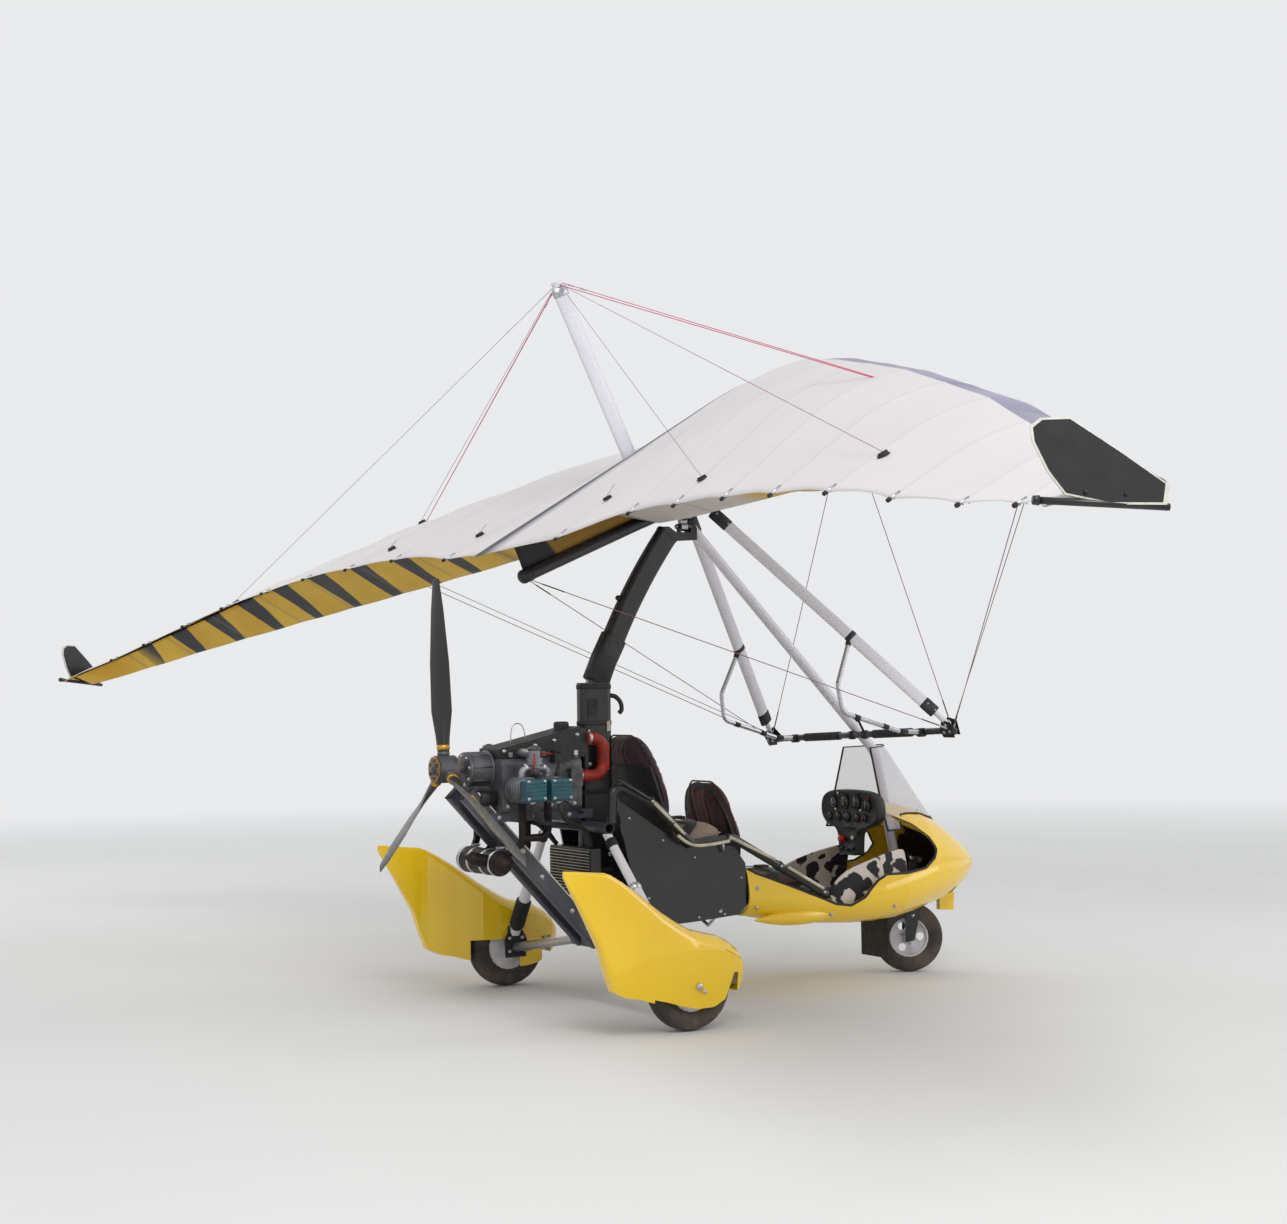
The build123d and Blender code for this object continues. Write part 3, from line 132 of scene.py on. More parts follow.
def finish_of(name, color, worn=None, spots=4.0, amount=0.35, rough=(0.3, 0.45), grain=(160.0, 0.15),
    **constants):
    """Plain finish: slow colour variation, uneven gloss and a fine grain."""
    s = Shader(name)
    slow = s.noise(spots, 4.0)
    fade = s.span(slow, 0.42, 0.68, 0.0, amount)
    s.link(s.mix(fade, color, worn or color), s.bsdf.inputs["Base Color"])
    s.link(s.span(s.noise(spots * 5, 3.0), 0.3, 0.7, *rough), s.bsdf.inputs["Roughness"])
    s.bump(s.noise(grain[0], 3.0), grain[1])
    s.constant(**constants)
    return s.material


def cloth(name, color, worn, thread=900.0, depth=0.4, sheen=0.25, rough=0.8):
    """Woven cloth: two crossed thread waves and a slow fade."""
    s = Shader(name)
    fade = s.span(s.noise(6.0, 4.0), 0.35, 0.7, 0.0, 0.5)
    threads = []
    for axis in ("X", "Z", "Y"):
        wave = s.add("ShaderNodeTexWave", {"Scale": thread / 20, "Distortion": 0.4, "Detail": 1.0},
                     wave_type="BANDS", bands_direction=axis)
        s.link(s.place.outputs["Object"], wave.inputs["Vector"])
        threads.append(wave.outputs["Fac"])
    weave = s.maths("MULTIPLY", s.maths("MAXIMUM", threads[0], threads[2]), threads[1])
    shade = s.mix(fade, color, worn)
    dark = s.mix(0.25, shade, (0.0, 0.0, 0.0, 1.0))
    s.link(s.mix(weave, dark, shade), s.bsdf.inputs["Base Color"])
    s.bump(weave, depth, 0.0008)
    s.constant(rough=rough, sheen=sheen, sheen_rough=0.4)
    return s.material


YELLOW = srgb(0.965, 0.800, 0.085)
yellow = finish_of("yellow_gelcoat", YELLOW, srgb(0.93, 0.74, 0.07), 2.2, 0.5, (0.16, 0.28), (420.0, 0.05),
                   coat=0.6, coat_rough=0.08)
black_gloss = finish_of("black_gelcoat", srgb(0.075, 0.06, 0.07), srgb(0.14, 0.12, 0.12), 3.0, 0.5,
    (0.22, 0.36),
                        (300.0, 0.08), coat=0.4, coat_rough=0.12)
black_plastic = finish_of("moulded_black", srgb(0.09, 0.09, 0.095), srgb(0.16, 0.155, 0.15), 9.0, 0.6,
    (0.45, 0.65),
                          (700.0, 0.5))
black_tube = finish_of("black_coated_tube", srgb(0.075, 0.075, 0.085), srgb(0.17, 0.16, 0.16), 5.0, 0.4,
    (0.28, 0.45),
                       (500.0, 0.12), coat=0.25, coat_rough=0.2)
grey_beam = finish_of("grey_coated_beam", srgb(0.27, 0.28, 0.32), srgb(0.40, 0.40, 0.42), 4.0, 0.55,
    (0.30, 0.5),
                      (500.0, 0.15), metallic=0.35)
white_tube = finish_of("white_fairing", srgb(0.88, 0.87, 0.90), srgb(0.82, 0.81, 0.84), 3.0, 0.4,
    (0.28, 0.36),
                       (60.0, 0.02), coat=0.3, coat_rough=0.15)
silver = finish_of("satin_aluminium", srgb(0.76, 0.76, 0.78), srgb(0.68, 0.68, 0.71), 4.0, 0.4, (0.28, 0.38),
                   (80.0, 0.04), metallic=0.9)
alloy = finish_of("bright_casting", srgb(0.60, 0.60, 0.62), srgb(0.40, 0.40, 0.41), 14.0, 0.7, (0.35, 0.6),
    (520.0, 0.5),
                  metallic=0.75)
cast = finish_of("cast_alloy", srgb(0.42, 0.42, 0.44), srgb(0.26, 0.26, 0.27), 14.0, 0.8, (0.4, 0.7),
    (520.0, 0.7),
                 metallic=0.7)
dull_steel = finish_of("heated_steel", srgb(0.12, 0.11, 0.115), srgb(0.22, 0.17, 0.15), 9.0, 0.8, (0.4, 0.7),
                       (380.0, 0.35), metallic=0.7)
teal = finish_of("teal_paint", srgb(0.10, 0.33, 0.37), srgb(0.07, 0.22, 0.25), 16.0, 0.7, (0.3, 0.5),
    (360.0, 0.25),
                 coat=0.2, coat_rough=0.3)
red_hose = finish_of("red_silicone", srgb(0.62, 0.14, 0.07), srgb(0.42, 0.09, 0.05), 12.0, 0.7, (0.45, 0.65),
                     (260.0, 0.35))
rubber = finish_of("rubber_black", srgb(0.10, 0.10, 0.10), srgb(0.22, 0.20, 0.18), 8.0, 0.6, (0.6, 0.85),
                   (420.0, 0.5))
tyre_rubber = finish_of("tyre_rubber", srgb(0.22, 0.20, 0.20), srgb(0.42, 0.37, 0.33), 6.0, 0.8, (0.7, 0.92),
                        (340.0, 0.6))
rim_paint = finish_of("rim_paint", srgb(0.88, 0.88, 0.90), srgb(0.66, 0.64, 0.62), 12.0, 0.6, (0.25, 0.45),
                      (500.0, 0.1), coat=0.2, coat_rough=0.2)
black_blade = finish_of("blade_black", srgb(0.085, 0.075, 0.07), srgb(0.19, 0.16, 0.13), 6.0, 0.5,
    (0.25, 0.42),
                        (600.0, 0.1), coat=0.3, coat_rough=0.2)
gold = finish_of("gold_band", srgb(0.80, 0.62, 0.20), srgb(0.62, 0.45, 0.14), 18.0, 0.6, (0.3, 0.45),
    (500.0, 0.1),
                 metallic=0.5)
bronze = finish_of("bronze_ring", srgb(0.55, 0.42, 0.25), srgb(0.38, 0.28, 0.17), 20.0, 0.6, (0.3, 0.45),
    (500.0, 0.2),
                   metallic=0.7)
red_plastic = finish_of("red_plastic", srgb(0.72, 0.05, 0.05), srgb(0.5, 0.04, 0.04), 30.0, 0.5, (0.25, 0.4),
                        (600.0, 0.1))
pink_cord = finish_of("pink_sleeve", srgb(0.86, 0.36, 0.50), srgb(0.70, 0.25, 0.42), 40.0, 0.6, (0.4, 0.6),
                      (900.0, 0.4))
wire_plain = finish_of("coated_wire", srgb(0.66, 0.44, 0.56), srgb(0.50, 0.36, 0.48), 40.0, 0.6, (0.35, 0.5),
                       (900.0, 0.3), metallic=0.4)
cream = finish_of("cream_pad", srgb(0.83, 0.81, 0.72), srgb(0.66, 0.62, 0.52), 16.0, 0.7, (0.55, 0.75),
    (600.0, 0.5),
                  sheen=0.1)
gauge_face = finish_of("gauge_face", srgb(0.05, 0.05, 0.055), srgb(0.09, 0.09, 0.09), 60.0, 0.3, (0.25, 0.35),
                       (900.0, 0.05), coat=0.5, coat_rough=0.05)
mark_white = finish_of("mark_white", srgb(0.86, 0.86, 0.82), srgb(0.7, 0.7, 0.66), 60.0, 0.4, (0.5, 0.6),
                       (900.0, 0.1))
black_cloth = cloth("black_webbing", srgb(0.10, 0.095, 0.10), srgb(0.16, 0.15, 0.15), 700.0, 0.6)

glass = Shader("clear_screen")
glass.link(glass.span(glass.noise(7.0, 3.0), 0.3, 0.7, 0.05, 0.16), glass.bsdf.inputs["Roughness"])
glass.link(glass.mix(glass.span(glass.noise(2.5), 0.3, 0.7, 0.0, 0.6), srgb(0.86, 0.86, 0.90),
    srgb(0.78, 0.76, 0.82)),
           glass.bsdf.inputs["Base Color"])
glass.bump(glass.noise(60.0), 0.04)
glass.constant(ior=1.2, alpha=0.22)
glass = glass.material


def blotched():
    """Foot lining: pale cloth with large black blotches."""
    s = Shader("blotched_lining")
    big = s.add("ShaderNodeTexVoronoi", {"Scale": 15.0, "Randomness": 1.0}, feature="SMOOTH_F1")
    warp = s.add("ShaderNodeVectorMath", operation="ADD")
    grain = s.add("ShaderNodeTexNoise", {"Scale": 22.0, "Detail": 3.0})
    small = s.add("ShaderNodeVectorMath", {"Scale": 0.05}, operation="SCALE")
    s.link(s.place.outputs["Object"], grain.inputs["Vector"])
    s.link(grain.outputs["Color"], small.inputs[0])
    s.link(s.place.outputs["Object"], warp.inputs[0])
    s.link(small.outputs[0], warp.inputs[1])
    s.link(warp.outputs[0], big.inputs["Vector"])
    edge = s.span(big.outputs["Distance"], 0.43, 0.46)
    s.link(s.mix(edge, srgb(0.10, 0.09, 0.12), srgb(0.84, 0.80, 0.76)), s.bsdf.inputs["Base Color"])
    s.bump(s.noise(700.0), 0.5)
    s.constant(rough=0.85, sheen=0.2)
    return s.material


BATTENS = (0.55, 1.16, 1.60, 2.03, 2.45, 2.88, 3.32, 3.76, 4.12)
V_SCALE = 5.0            # metres of half span for one unit of V


def sailcloth(name, side):
    """Sail cloth. U runs along the chord and V along the half span."""
    s = Shader(name)
    uv = s.add("ShaderNodeSeparateXYZ")
    s.link(s.place.outputs["UV"], uv.inputs[0])
    u, y = uv.outputs[0], s.maths("MULTIPLY", uv.outputs[1], V_SCALE)
    wobble = s.maths("MULTIPLY", s.maths("SUBTRACT", s.noise(5.0, 3.0), 0.5), 0.10)
    white = s.mix(s.span(s.noise(1.4, 3.0), 0.35, 0.65), srgb(0.885, 0.865, 0.865), srgb(0.865, 0.845, 0.85))
    lavender = s.mix(s.span(s.noise(3.0), 0.3, 0.7), srgb(0.47, 0.46, 0.56), srgb(0.60, 0.59, 0.68))
    black = srgb(0.12, 0.115, 0.15)
    # seams beside the battens
    seam = None
    for b in BATTENS:
        near = s.maths("ABSOLUTE", s.maths("SUBTRACT", y, b))
        line = s.span(near, 0.010, 0.014, 1.0, 0.0)
        seam = line if seam is None else s.maths("MAXIMUM", seam, line)
    if side == "top":
        color = s.mix(s.maths("MULTIPLY", seam, 0.28), white, srgb(0.74, 0.72, 0.76))
        edge = s.span(y, 1.0, 3.6, 0.25, 0.27)
        band = s.maths("MULTIPLY", s.span(s.maths("SUBTRACT", u, edge), -0.004, 0.0, 1.0, 0.0),
            s.span(y, 0.98, 1.0))
        color = s.mix(band, color, lavender)
        # painted shade: grey band that fades out beside the centre strip, where the sail dips into the valley
        # at the keel
        grey = s.span(y, 0.050, 0.12, 0.9, 0.0)
        color = s.mix(grey, color, srgb(0.56, 0.55, 0.60))
        strip = s.span(y, 0.040, 0.046, 1.0, 0.0)
        color = s.mix(strip, color, black)
    else:
        yellow_cloth = s.mix(s.span(s.noise(2.0), 0.3, 0.7), srgb(0.88, 0.72, 0.12), srgb(0.80, 0.62, 0.10))
        pale = s.mix(s.span(s.noise(1.8), 0.3, 0.7), srgb(0.84, 0.80, 0.76), srgb(0.74, 0.71, 0.70))
        # wedge-shaped marks that start at the trailing edge and thin out forwards
        phase = s.maths("ADD", s.maths("MULTIPLY", y, 3.1), s.maths("MULTIPLY", u, 0.9))
        tooth = s.maths("PINGPONG", s.maths("ADD", phase, wobble), 0.5)
        width = s.span(u, 0.44, 0.97, 0.0, 0.36)
        mark = s.span(s.maths("SUBTRACT", width, tooth), 0.0, 0.02)
        zone = s.maths("MULTIPLY", s.span(y, 1.05, 1.2), s.span(y, 3.95, 4.1, 1.0, 0.0))
        mark = s.maths("MULTIPLY", mark, zone)
        line = s.maths("ADD", u, wobble)
        yellow_zone = s.maths("MULTIPLY", s.span(line, 0.46, 0.47), s.span(y, 0.8, 0.95))
        color = s.mix(yellow_zone, pale, yellow_cloth)
        border = s.maths("MULTIPLY", s.maths("MULTIPLY", s.span(line, 0.445, 0.45),
            s.span(line, 0.465, 0.47, 1.0, 0.0)),
                         s.span(y, 0.8, 0.95))
        color = s.mix(s.maths("MAXIMUM", mark, border), color, black)
        color = s.mix(s.maths("MULTIPLY", seam, 0.3), color, srgb(0.45, 0.42, 0.36))
    s.link(color, s.bsdf.inputs["Base Color"])
    weave_x = s.maths("PINGPONG", s.maths("MULTIPLY", u, 300.0), 0.5)
    weave_y = s.maths("PINGPONG", s.maths("MULTIPLY", y, 160.0), 0.5)
    ripstop = s.maths("ADD", s.span(weave_x, 0.44, 0.5), s.span(weave_y, 0.44, 0.5))
    s.bump(s.maths("ADD", ripstop, s.maths("MULTIPLY", s.noise(9.0, 4.0), 1.6)), 0.25, 0.0012)
    s.link(s.span(s.noise(4.0), 0.3, 0.7, 0.5, 0.66), s.bsdf.inputs["Roughness"])
    s.constant(sheen=0.15, sheen_rough=0.5)
    return s.material


sail_top, sail_under = sailcloth("sail_top_cloth", "top"), sailcloth("sail_under_cloth", "under")


# ---------------------------------------------------------------- mesh helpers
def turn_out(obj):
    """Point the face normals outwards."""
    bm = bmesh.new()
    bm.from_mesh(obj.data)
    bmesh.ops.recalc_face_normals(bm, faces=bm.faces)
    bm.to_mesh(obj.data)
    bm.free()


def unit(x):
    """x held between 0 and 1."""
    return min(1.0, max(0.0, x))


def wall(rows, sides):
    """Faces between closed rings of points."""
    return [(r * sides + k, r * sides + (k + 1) % sides, (r + 1) * sides + (k + 1) % sides,
             (r + 1) * sides + k)
            for r in range(rows - 1) for k in range(sides)]


def lids(rows, sides):
    """Faces that close the first and the last ring."""
    return [tuple(reversed(range(sides))), tuple((rows - 1) * sides + k for k in range(sides))]


def piece(name, verts, faces, body, materials, smooth=True, indices=None, uvs=None):
    """Mesh object that rides on a body."""
    mesh = bpy.data.meshes.new(name)
    mesh.from_pydata([tuple(v) for v in verts], [], faces)
    for m in materials if isinstance(materials, (list, tuple)) else (materials,):
        mesh.materials.append(m)
    if indices:
        mesh.polygons.foreach_set("material_index", indices)
    if uvs:
        layer = mesh.uv_layers.new(name="UVMap")
        for loop in mesh.loops:
            layer.data[loop.index].uv = uvs[loop.vertex_index]
    mesh.polygons.foreach_set("use_smooth", [smooth] * len(mesh.polygons))
    mesh.update()
    obj = bpy.data.objects.new(name, mesh)
    bpy.context.scene.collection.objects.link(obj)
    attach(obj, body)
    return obj


class Build:
    """Collects several closed shapes into one piece."""

    def __init__(self):
        self.verts, self.faces, self.index, self.flat = [], [], [], []

    def add(self, verts, faces, material=0, smooth=True):
        start = len(self.verts)
        self.verts += [Vector(v) for v in verts]
        self.faces += [tuple(i + start for i in f) for f in faces]
        self.index += [material] * len(faces)
        self.flat += [smooth] * len(faces)

    def tube(self, points, radius, material=0, sides=10, closed_ends=True):
        """Round tube along points; radius is one number or one for each point."""
        points = [Vector(p) for p in points]
        radii = radius if isinstance(radius, (list, tuple)) else [radius] * len(points)
        first = (points[1] - points[0]).normalized()
        side = first.orthogonal().normalized()
        rings = []
        for i, p in enumerate(points):
            a = points[max(i - 1, 0)]
            b = points[min(i + 1, len(points) - 1)]
            d = (b - a).normalized()
            side = (side - d * side.dot(d)).normalized()
            other = d.cross(side)
            rings.append([p + (side * math.cos(t) + other * math.sin(t)) * radii[i]
                          for t in (2 * math.pi * k / sides for k in range(sides))])
        verts = [v for ring in rings for v in ring]
        faces = wall(len(points), sides)
        if closed_ends:
            faces += lids(len(points), sides)
        self.add(verts, faces, material)

    def lathe(self, origin, axis, profile, material=0, sides=24):
        """Closed shape turned from (distance along the axis, radius) points."""
        axis = Vector(axis).normalized()
        points = [Vector(origin) + axis * d for d, _ in profile]
        side = axis.orthogonal().normalized()
        other = axis.cross(side)
        verts, faces = [], []
        for p, (_, r) in zip(points, profile):
            verts += [p + (side * math.cos(t) + other * math.sin(t)) * max(r, 1e-5)
                      for t in (2 * math.pi * k / sides for k in range(sides))]
        n = len(profile)
        faces = wall(n, sides)
        faces += lids(n, sides)
        self.add(verts, faces, material)

    def slab(self, outline, offset, material=0, smooth=False):
        """Flat plate: outline points and the vector to its other face."""
        n = len(outline)
        offset = Vector(offset)
        verts = [Vector(p) for p in outline] + [Vector(p) + offset for p in outline]
        faces = [tuple(range(n)), tuple(reversed(range(n, 2 * n)))]
        faces += [(k, k + n, (k + 1) % n + n, (k + 1) % n) for k in range(n)]
        self.add(verts, faces, material, smooth)

    def bolt(self, p, axis, r=0.007, material=0):
        axis = Vector(axis).normalized()
        self.lathe(Vector(p), axis, [(0, r * 1.5), (0.0015, r * 1.5)], material, 16)
        self.lathe(Vector(p) + axis * 0.0015, axis, [(0, r), (r * 0.7, r), (r * 0.85, r * 0.8)], material, 6)

    def make(self, name, body, materials, slot=None, matrix=None, bevel=0.0):
        verts = [matrix @ v for v in self.verts] if matrix else self.verts
        obj = piece(name, verts, self.faces, body, materials, indices=self.index)
        obj.data.polygons.foreach_set("use_smooth", self.flat)
        turn_out(obj)
        if bevel:
            mod = obj.modifiers.new("edges", "BEVEL")
            mod.width, mod.segments, mod.limit_method, mod.angle_limit = bevel, 2, "ANGLE", math.radians(40)
        return obj


def curve_points(points, steps=8):
    """Smooth line through the points."""
    p = [Vector(q) for q in points]
    p = [p[0] * 2 - p[1]] + p + [p[-1] * 2 - p[-2]]
    out = []
    for i in range(1, len(p) - 2):
        for k in range(steps):
            t = k / steps
            out.append(0.5 * (2 * p[i] + (p[i + 1] - p[i - 1]) * t
                              + (2 * p[i - 1] - 5 * p[i] + 4 * p[i + 1] - p[i + 2]) * t * t
                              + (3 * p[i] - p[i - 1] - 3 * p[i + 1] + p[i + 2]) * t ** 3))
    return out + [p[-2]]


# ---------------------------------------------------------------- sail
# columns: y, leading edge x, its z, trailing edge x, crest along the chord, tail slope factor, underside z,
# left trailing edge z and crest height, right trailing edge z and crest height
RIBS = [
    (0.0024, 1.283, 0.000, -1.115, 0.21, 1.12, -0.036, 0.176, 0.371, 0.176, 0.371),
    (0.500, 1.035, 0.002, -1.000, 0.24, 1.20, -0.036, 0.171, 0.225, 0.154, 0.407),
    (1.100, 0.727, 0.005, -0.965, 0.27, 1.30, -0.036, 0.223, 0.222, 0.189, 0.378),
    (2.000, 0.270, 0.012, -1.090, 0.30, 1.35, -0.034, 0.260, 0.173, 0.185, 0.290),
    (2.850, -0.170, 0.012, -1.265, 0.32, 1.35, -0.022, 0.240, 0.118, 0.158, 0.165),
    (3.600, -0.710, 0.005, -1.440, 0.32, 1.35, -0.006, 0.181, 0.095, 0.085, 0.074),
    (4.200, -1.175, 0.012, -1.620, 0.32, 1.35, 0.004, 0.131, 0.075, 0.072, 0.042),
    (4.470, -1.405, 0.030, -1.844, 0.32, 1.30, 0.024, 0.118, 0.055, 0.108, 0.032),
    (4.625, -1.540, 0.042, -1.645, 0.32, 1.20, 0.036, 0.080, 0.016, 0.080, 0.016),
]
LOWER_FLAT, LOWER_END = 0.62, 0.80
SCALLOP, RIDGE, SAG = 0.030, 0.0022, 0.006


def column(i, y):
    """Column i of the rib table at y, eased between the ribs."""
    rows = RIBS
    y = min(max(y, rows[0][0]), rows[-1][0])
    k = next(j for j in range(len(rows) - 1) if y <= rows[j + 1][0] + 1e-9)
    a, b = rows[k], rows[k + 1]
    t = (y - a[0]) / (b[0] - a[0])

    def slope(j):
        j0, j1 = max(j - 1, 0), min(j + 1, len(rows) - 1)
        return (rows[j1][i] - rows[j0][i]) / (rows[j1][0] - rows[j0][0])

    h = b[0] - a[0]
    ease = 0.55 if i not in (1, 3) else 0.0
    line = a[i] + t * (b[i] - a[i])
    hermite = ((2 * t ** 3 - 3 * t ** 2 + 1) * a[i] + (t ** 3 - 2 * t ** 2 + t) * h * slope(k)
               + (-2 * t ** 3 + 3 * t ** 2) * b[i] + (t ** 3 - t ** 2) * h * slope(k + 1))
    return line + ease * (hermite - line)


def batten_gap(y):
    """Place between two battens, 0 at a batten and 1 half way."""
    marks = (0.0,) + BATTENS + (4.47,)
    for a, b in zip(marks, marks[1:]):
        if a <= y <= b:
            return math.sin(math.pi * (y - a) / (b - a))
    return 0.0


class Section:
    def __init__(self, y, left):
        self.y = y
        self.xl, self.zl, self.xt = column(1, y), column(2, y), column(3, y)
        self.zt, self.h = (column(7, y), column(8, y)) if left else (column(9, y), column(10, y))
        self.at_crest, tail, self.under = column(4, y), column(5, y), column(6, y)
        self.c = math.hypot(self.xt - self.xl, self.zt - self.zl)
        self.along = ((self.xt - self.xl) / self.c, (self.zt - self.zl) / self.c)
        self.a = self.at_crest * self.c
        self.phi = tail * math.atan(self.h / (self.c - self.a))
        rear = (self.c - self.a) * math.sin(self.phi) - self.h * math.cos(self.phi)
        self.r1 = (self.a ** 2 + self.h ** 2) / (2 * self.h)
        self.r2 = rear / (1 - math.cos(self.phi))
        self.start = math.asin(min(self.a / self.r1, 1.0))

    def point(self, s, n):
        return (self.xl + self.along[0] * s + self.along[1] * n, self.y,
            self.zl + self.along[1] * s - self.along[0] * n)

    def height(self, s):
        """Height of the upper skin over the chord at distance s."""
        if s <= self.a:
            return self.h - self.r1 + math.sqrt(max(self.r1 ** 2 - (self.a - s) ** 2, 0))
        x = s - self.a
        if x <= self.r2 * math.sin(self.phi):
            return self.h - self.r2 + math.sqrt(max(self.r2 ** 2 - x * x, 0))
        return (self.h - self.r2 + self.r2 * math.cos(self.phi)
                - (x - self.r2 * math.sin(self.phi)) * math.tan(self.phi))


def span_rows(y0, y1):
    rows = [y0 + (y1 - y0) * i / 66 for i in range(67)]
    for b in BATTENS:
        rows += [b - 0.014, b - 0.007, b, b + 0.007, b + 0.014]
    rows = sorted(y for y in rows if y0 <= y <= y1)
    return [y for i, y in enumerate(rows) if i == 0 or y - rows[i - 1] > 0.002]


def chord_steps(n):
    """Fractions of the chord, closer together at the leading edge."""
    return [(1 - math.cos(math.pi * 0.5 * i / n)) ** 1.15 if i < n else 1.0 for i in range(n + 1)]


FIN_FRONT = Vector((-1.555, 4.640, 0.044))
FIN_POINTS = [FIN_FRONT, Vector((-1.838, 4.470, 0.109)), Vector((-1.791, 4.421, 0.360)),
    Vector((-1.676, 4.493, 0.312))]
fin_normal = (FIN_POINTS[1] - FIN_FRONT).cross(FIN_POINTS[3] - FIN_FRONT).normalized()
if fin_normal.y < 0:
    fin_normal = -fin_normal


def inside_fin(p):
    """Pull a sail point back to the inner face of the winglet."""
    over = (p - FIN_FRONT).dot(fin_normal) + 0.007
    return p - fin_normal * over if over > 0 else p


def sail_piece(name, left, lower, node):
    side = 1 if left else -1
    rows = span_rows(0.036 if lower else 0.0024, 4.600 if lower else 4.620)
    steps = [i / 30 for i in range(31)] if lower else chord_steps(44)
    verts, uvs = [], []
    for y in rows:
        rib = Section(y, left)
        flat_end = LOWER_FLAT if left else 0.60 - 0.10 * unit((y - 0.5) / 0.6)
        gap = batten_gap(y)
        near = min(abs(y - b) for b in BATTENS)
        ridge = RIDGE * max(0.0, 1 - near / 0.014) if y < 4.3 else 0.0
        for f in steps:
            if lower:
                tuck = min(0.072, 0.3 * rib.c) / rib.c
                drop = min(0.036, 0.5 * tuck * rib.c) * (1 - 0.85 * unit((y - 4.1) / 0.35))
                knots = [(0.006 / rib.c, -0.002), (tuck, -drop),
                         (flat_end, rib.under), (LOWER_END, None)]
                xe = LOWER_END * rib.c
                end = rib.point(xe, rib.height(xe) - 0.016)
                line = [(rib.xl + rib.along[0] * 0.006, rib.zl - 0.002),
                    (rib.xl - tuck * rib.c, rib.zl + knots[1][1]),
                        (rib.xl + rib.along[0] * flat_end * rib.c, rib.under), (end[0], end[2])]
                t = f * 3
                k = min(int(t), 2)
                t -= k
                a, b = line[k], line[k + 1]
                p = Vector((a[0] + t * (b[0] - a[0]), y,
                    a[1] + t * (b[1] - a[1]) - 0.004 * gap * math.sin(math.pi * f)))
                u = (p.x - rib.xl) / (rib.xt - rib.xl)
            else:
                s = f * rib.c
                n = rib.height(s) + ridge * min(1.0, 10 * f) * min(1.0, 12 * (1 - f) + 0.2)
                n -= SAG * gap * min(1.0,
                    max(0.0, (f - 0.15) / 0.3)) * math.sin(math.pi * min(f, 1.0)) if 0 < f < 1 else 0.0
                p = Vector(rib.point(s, n))
                pull = SCALLOP * gap * max(0.0, (f - 0.9) / 0.1) ** 2
                p.x += pull
                u = f
            p = inside_fin(p)
            verts.append(WING @ Vector((p.x, side * p.y, p.z)))
            uvs.append((u, y / V_SCALE))
    n = len(steps)
    faces = [(r * n + k, r * n + k + 1, (r + 1) * n + k + 1, (r + 1) * n + k)
             for r in range(len(rows) - 1) for k in range(n - 1)]
    if left:
        faces = [tuple(reversed(f)) for f in faces]
    if lower:
        faces = [tuple(reversed(f)) for f in faces]
    mats = [sail_under, sail_under] if lower else [sail_top, sail_under]
    obj = piece(name, verts, faces, "wing", mats, uvs=uvs)
    thick = obj.modifiers.new("cloth", "SOLIDIFY")
    thick.thickness, thick.offset, thick.material_offset = 0.0016, -1.0, 1
    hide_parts(node)
    return obj


for hand, left in (("left", True), ("right", False)):
    sail_piece("sail_top_" + hand, left, False, "sail_upper_" + hand)
    sail_piece("sail_bottom_" + hand, left, True, "sail_lower_" + hand)

# Keel pocket: the cloth web between the centre line and the keel tube, black at the rear; its front is the
# yellow underside cloth darkened to ochre, painted shade
def pocket_cloth():
    s = Shader("pocket_cloth")
    uv = s.add("ShaderNodeSeparateXYZ")
    s.link(s.place.outputs["UV"], uv.inputs[0])
    # painted shade: darker copy of the yellow underside cloth
    shaded_yellow = s.mix(s.span(s.noise(3.0), 0.3, 0.7), srgb(0.66, 0.50, 0.12), srgb(0.52, 0.38, 0.10))
    rear = s.span(s.maths("ADD", uv.outputs[0], s.maths("MULTIPLY", uv.outputs[1], 0.35)), -0.72, -0.70,
        1.0, 0.0)
    s.link(s.mix(rear, shaded_yellow, srgb(0.11, 0.10, 0.11)), s.bsdf.inputs["Base Color"])
    s.bump(s.noise(500.0), 0.4)
    s.constant(rough=0.7, sheen=0.2)
    return s.material


pocket_mat = pocket_cloth()
root = Section(0.0024, True)
verts, uvs = [], []
xs = [1.18 + (-0.92 - 1.18) * i / 60 for i in range(61)]
for x in xs:
    s_here = (root.xl - x) / -root.along[0]
    top = root.point(s_here, root.height(s_here) - 0.004)[2]
    low = 0.031
    for k in range(7):
        z = low + (top - low) * k / 6
        y = 0.006 * math.sin(9 * x) * math.sin(math.pi * k / 6)
        verts.append(WING @ Vector((x, y, z)))
        uvs.append((x, z))
faces = [(i * 7 + k, i * 7 + k + 1, (i + 1) * 7 + k + 1,
    (i + 1) * 7 + k) for i in range(60) for k in range(6)]
pocket = piece("keel_pocket_cloth", verts, faces, "wing", [pocket_mat], uvs=uvs)
thick = pocket.modifiers.new("cloth", "SOLIDIFY")
thick.thickness, thick.offset = 0.0016, 0.0
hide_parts("keel_pocket")

# Batten ends: dark caps with a short cord back to the sail's edge
ends = Build()
for side in (-1, 1):
    for b in BATTENS:
        rib = Section(b, side > 0)
        p = Vector(rib.point(rib.c, 0))
        q = Vector(rib.point(rib.c * 0.985, rib.height(rib.c * 0.985)))
        p, q = Vector((p.x, side * b, p.z)), Vector((q.x, side * b, q.z))
        d = (p - q).normalized()
        ends.tube([q - d * 0.03, p + d * 0.008], [0.006, 0.006], 1, 8)
        ends.tube([p + d * 0.004, p + d * 0.016, p + d * 0.020], [0.008, 0.008, 0.004], 0, 8)
        for off in (-0.014, 0.014):
            ends.tube([p + d * 0.010, p + Vector((0.02, off, -0.004)), q + Vector((0.012, off, -0.012))],
                0.0018, 0, 6)
ends.make("batten_ends", "wing", [rubber, silver], "black_plastic", WING)

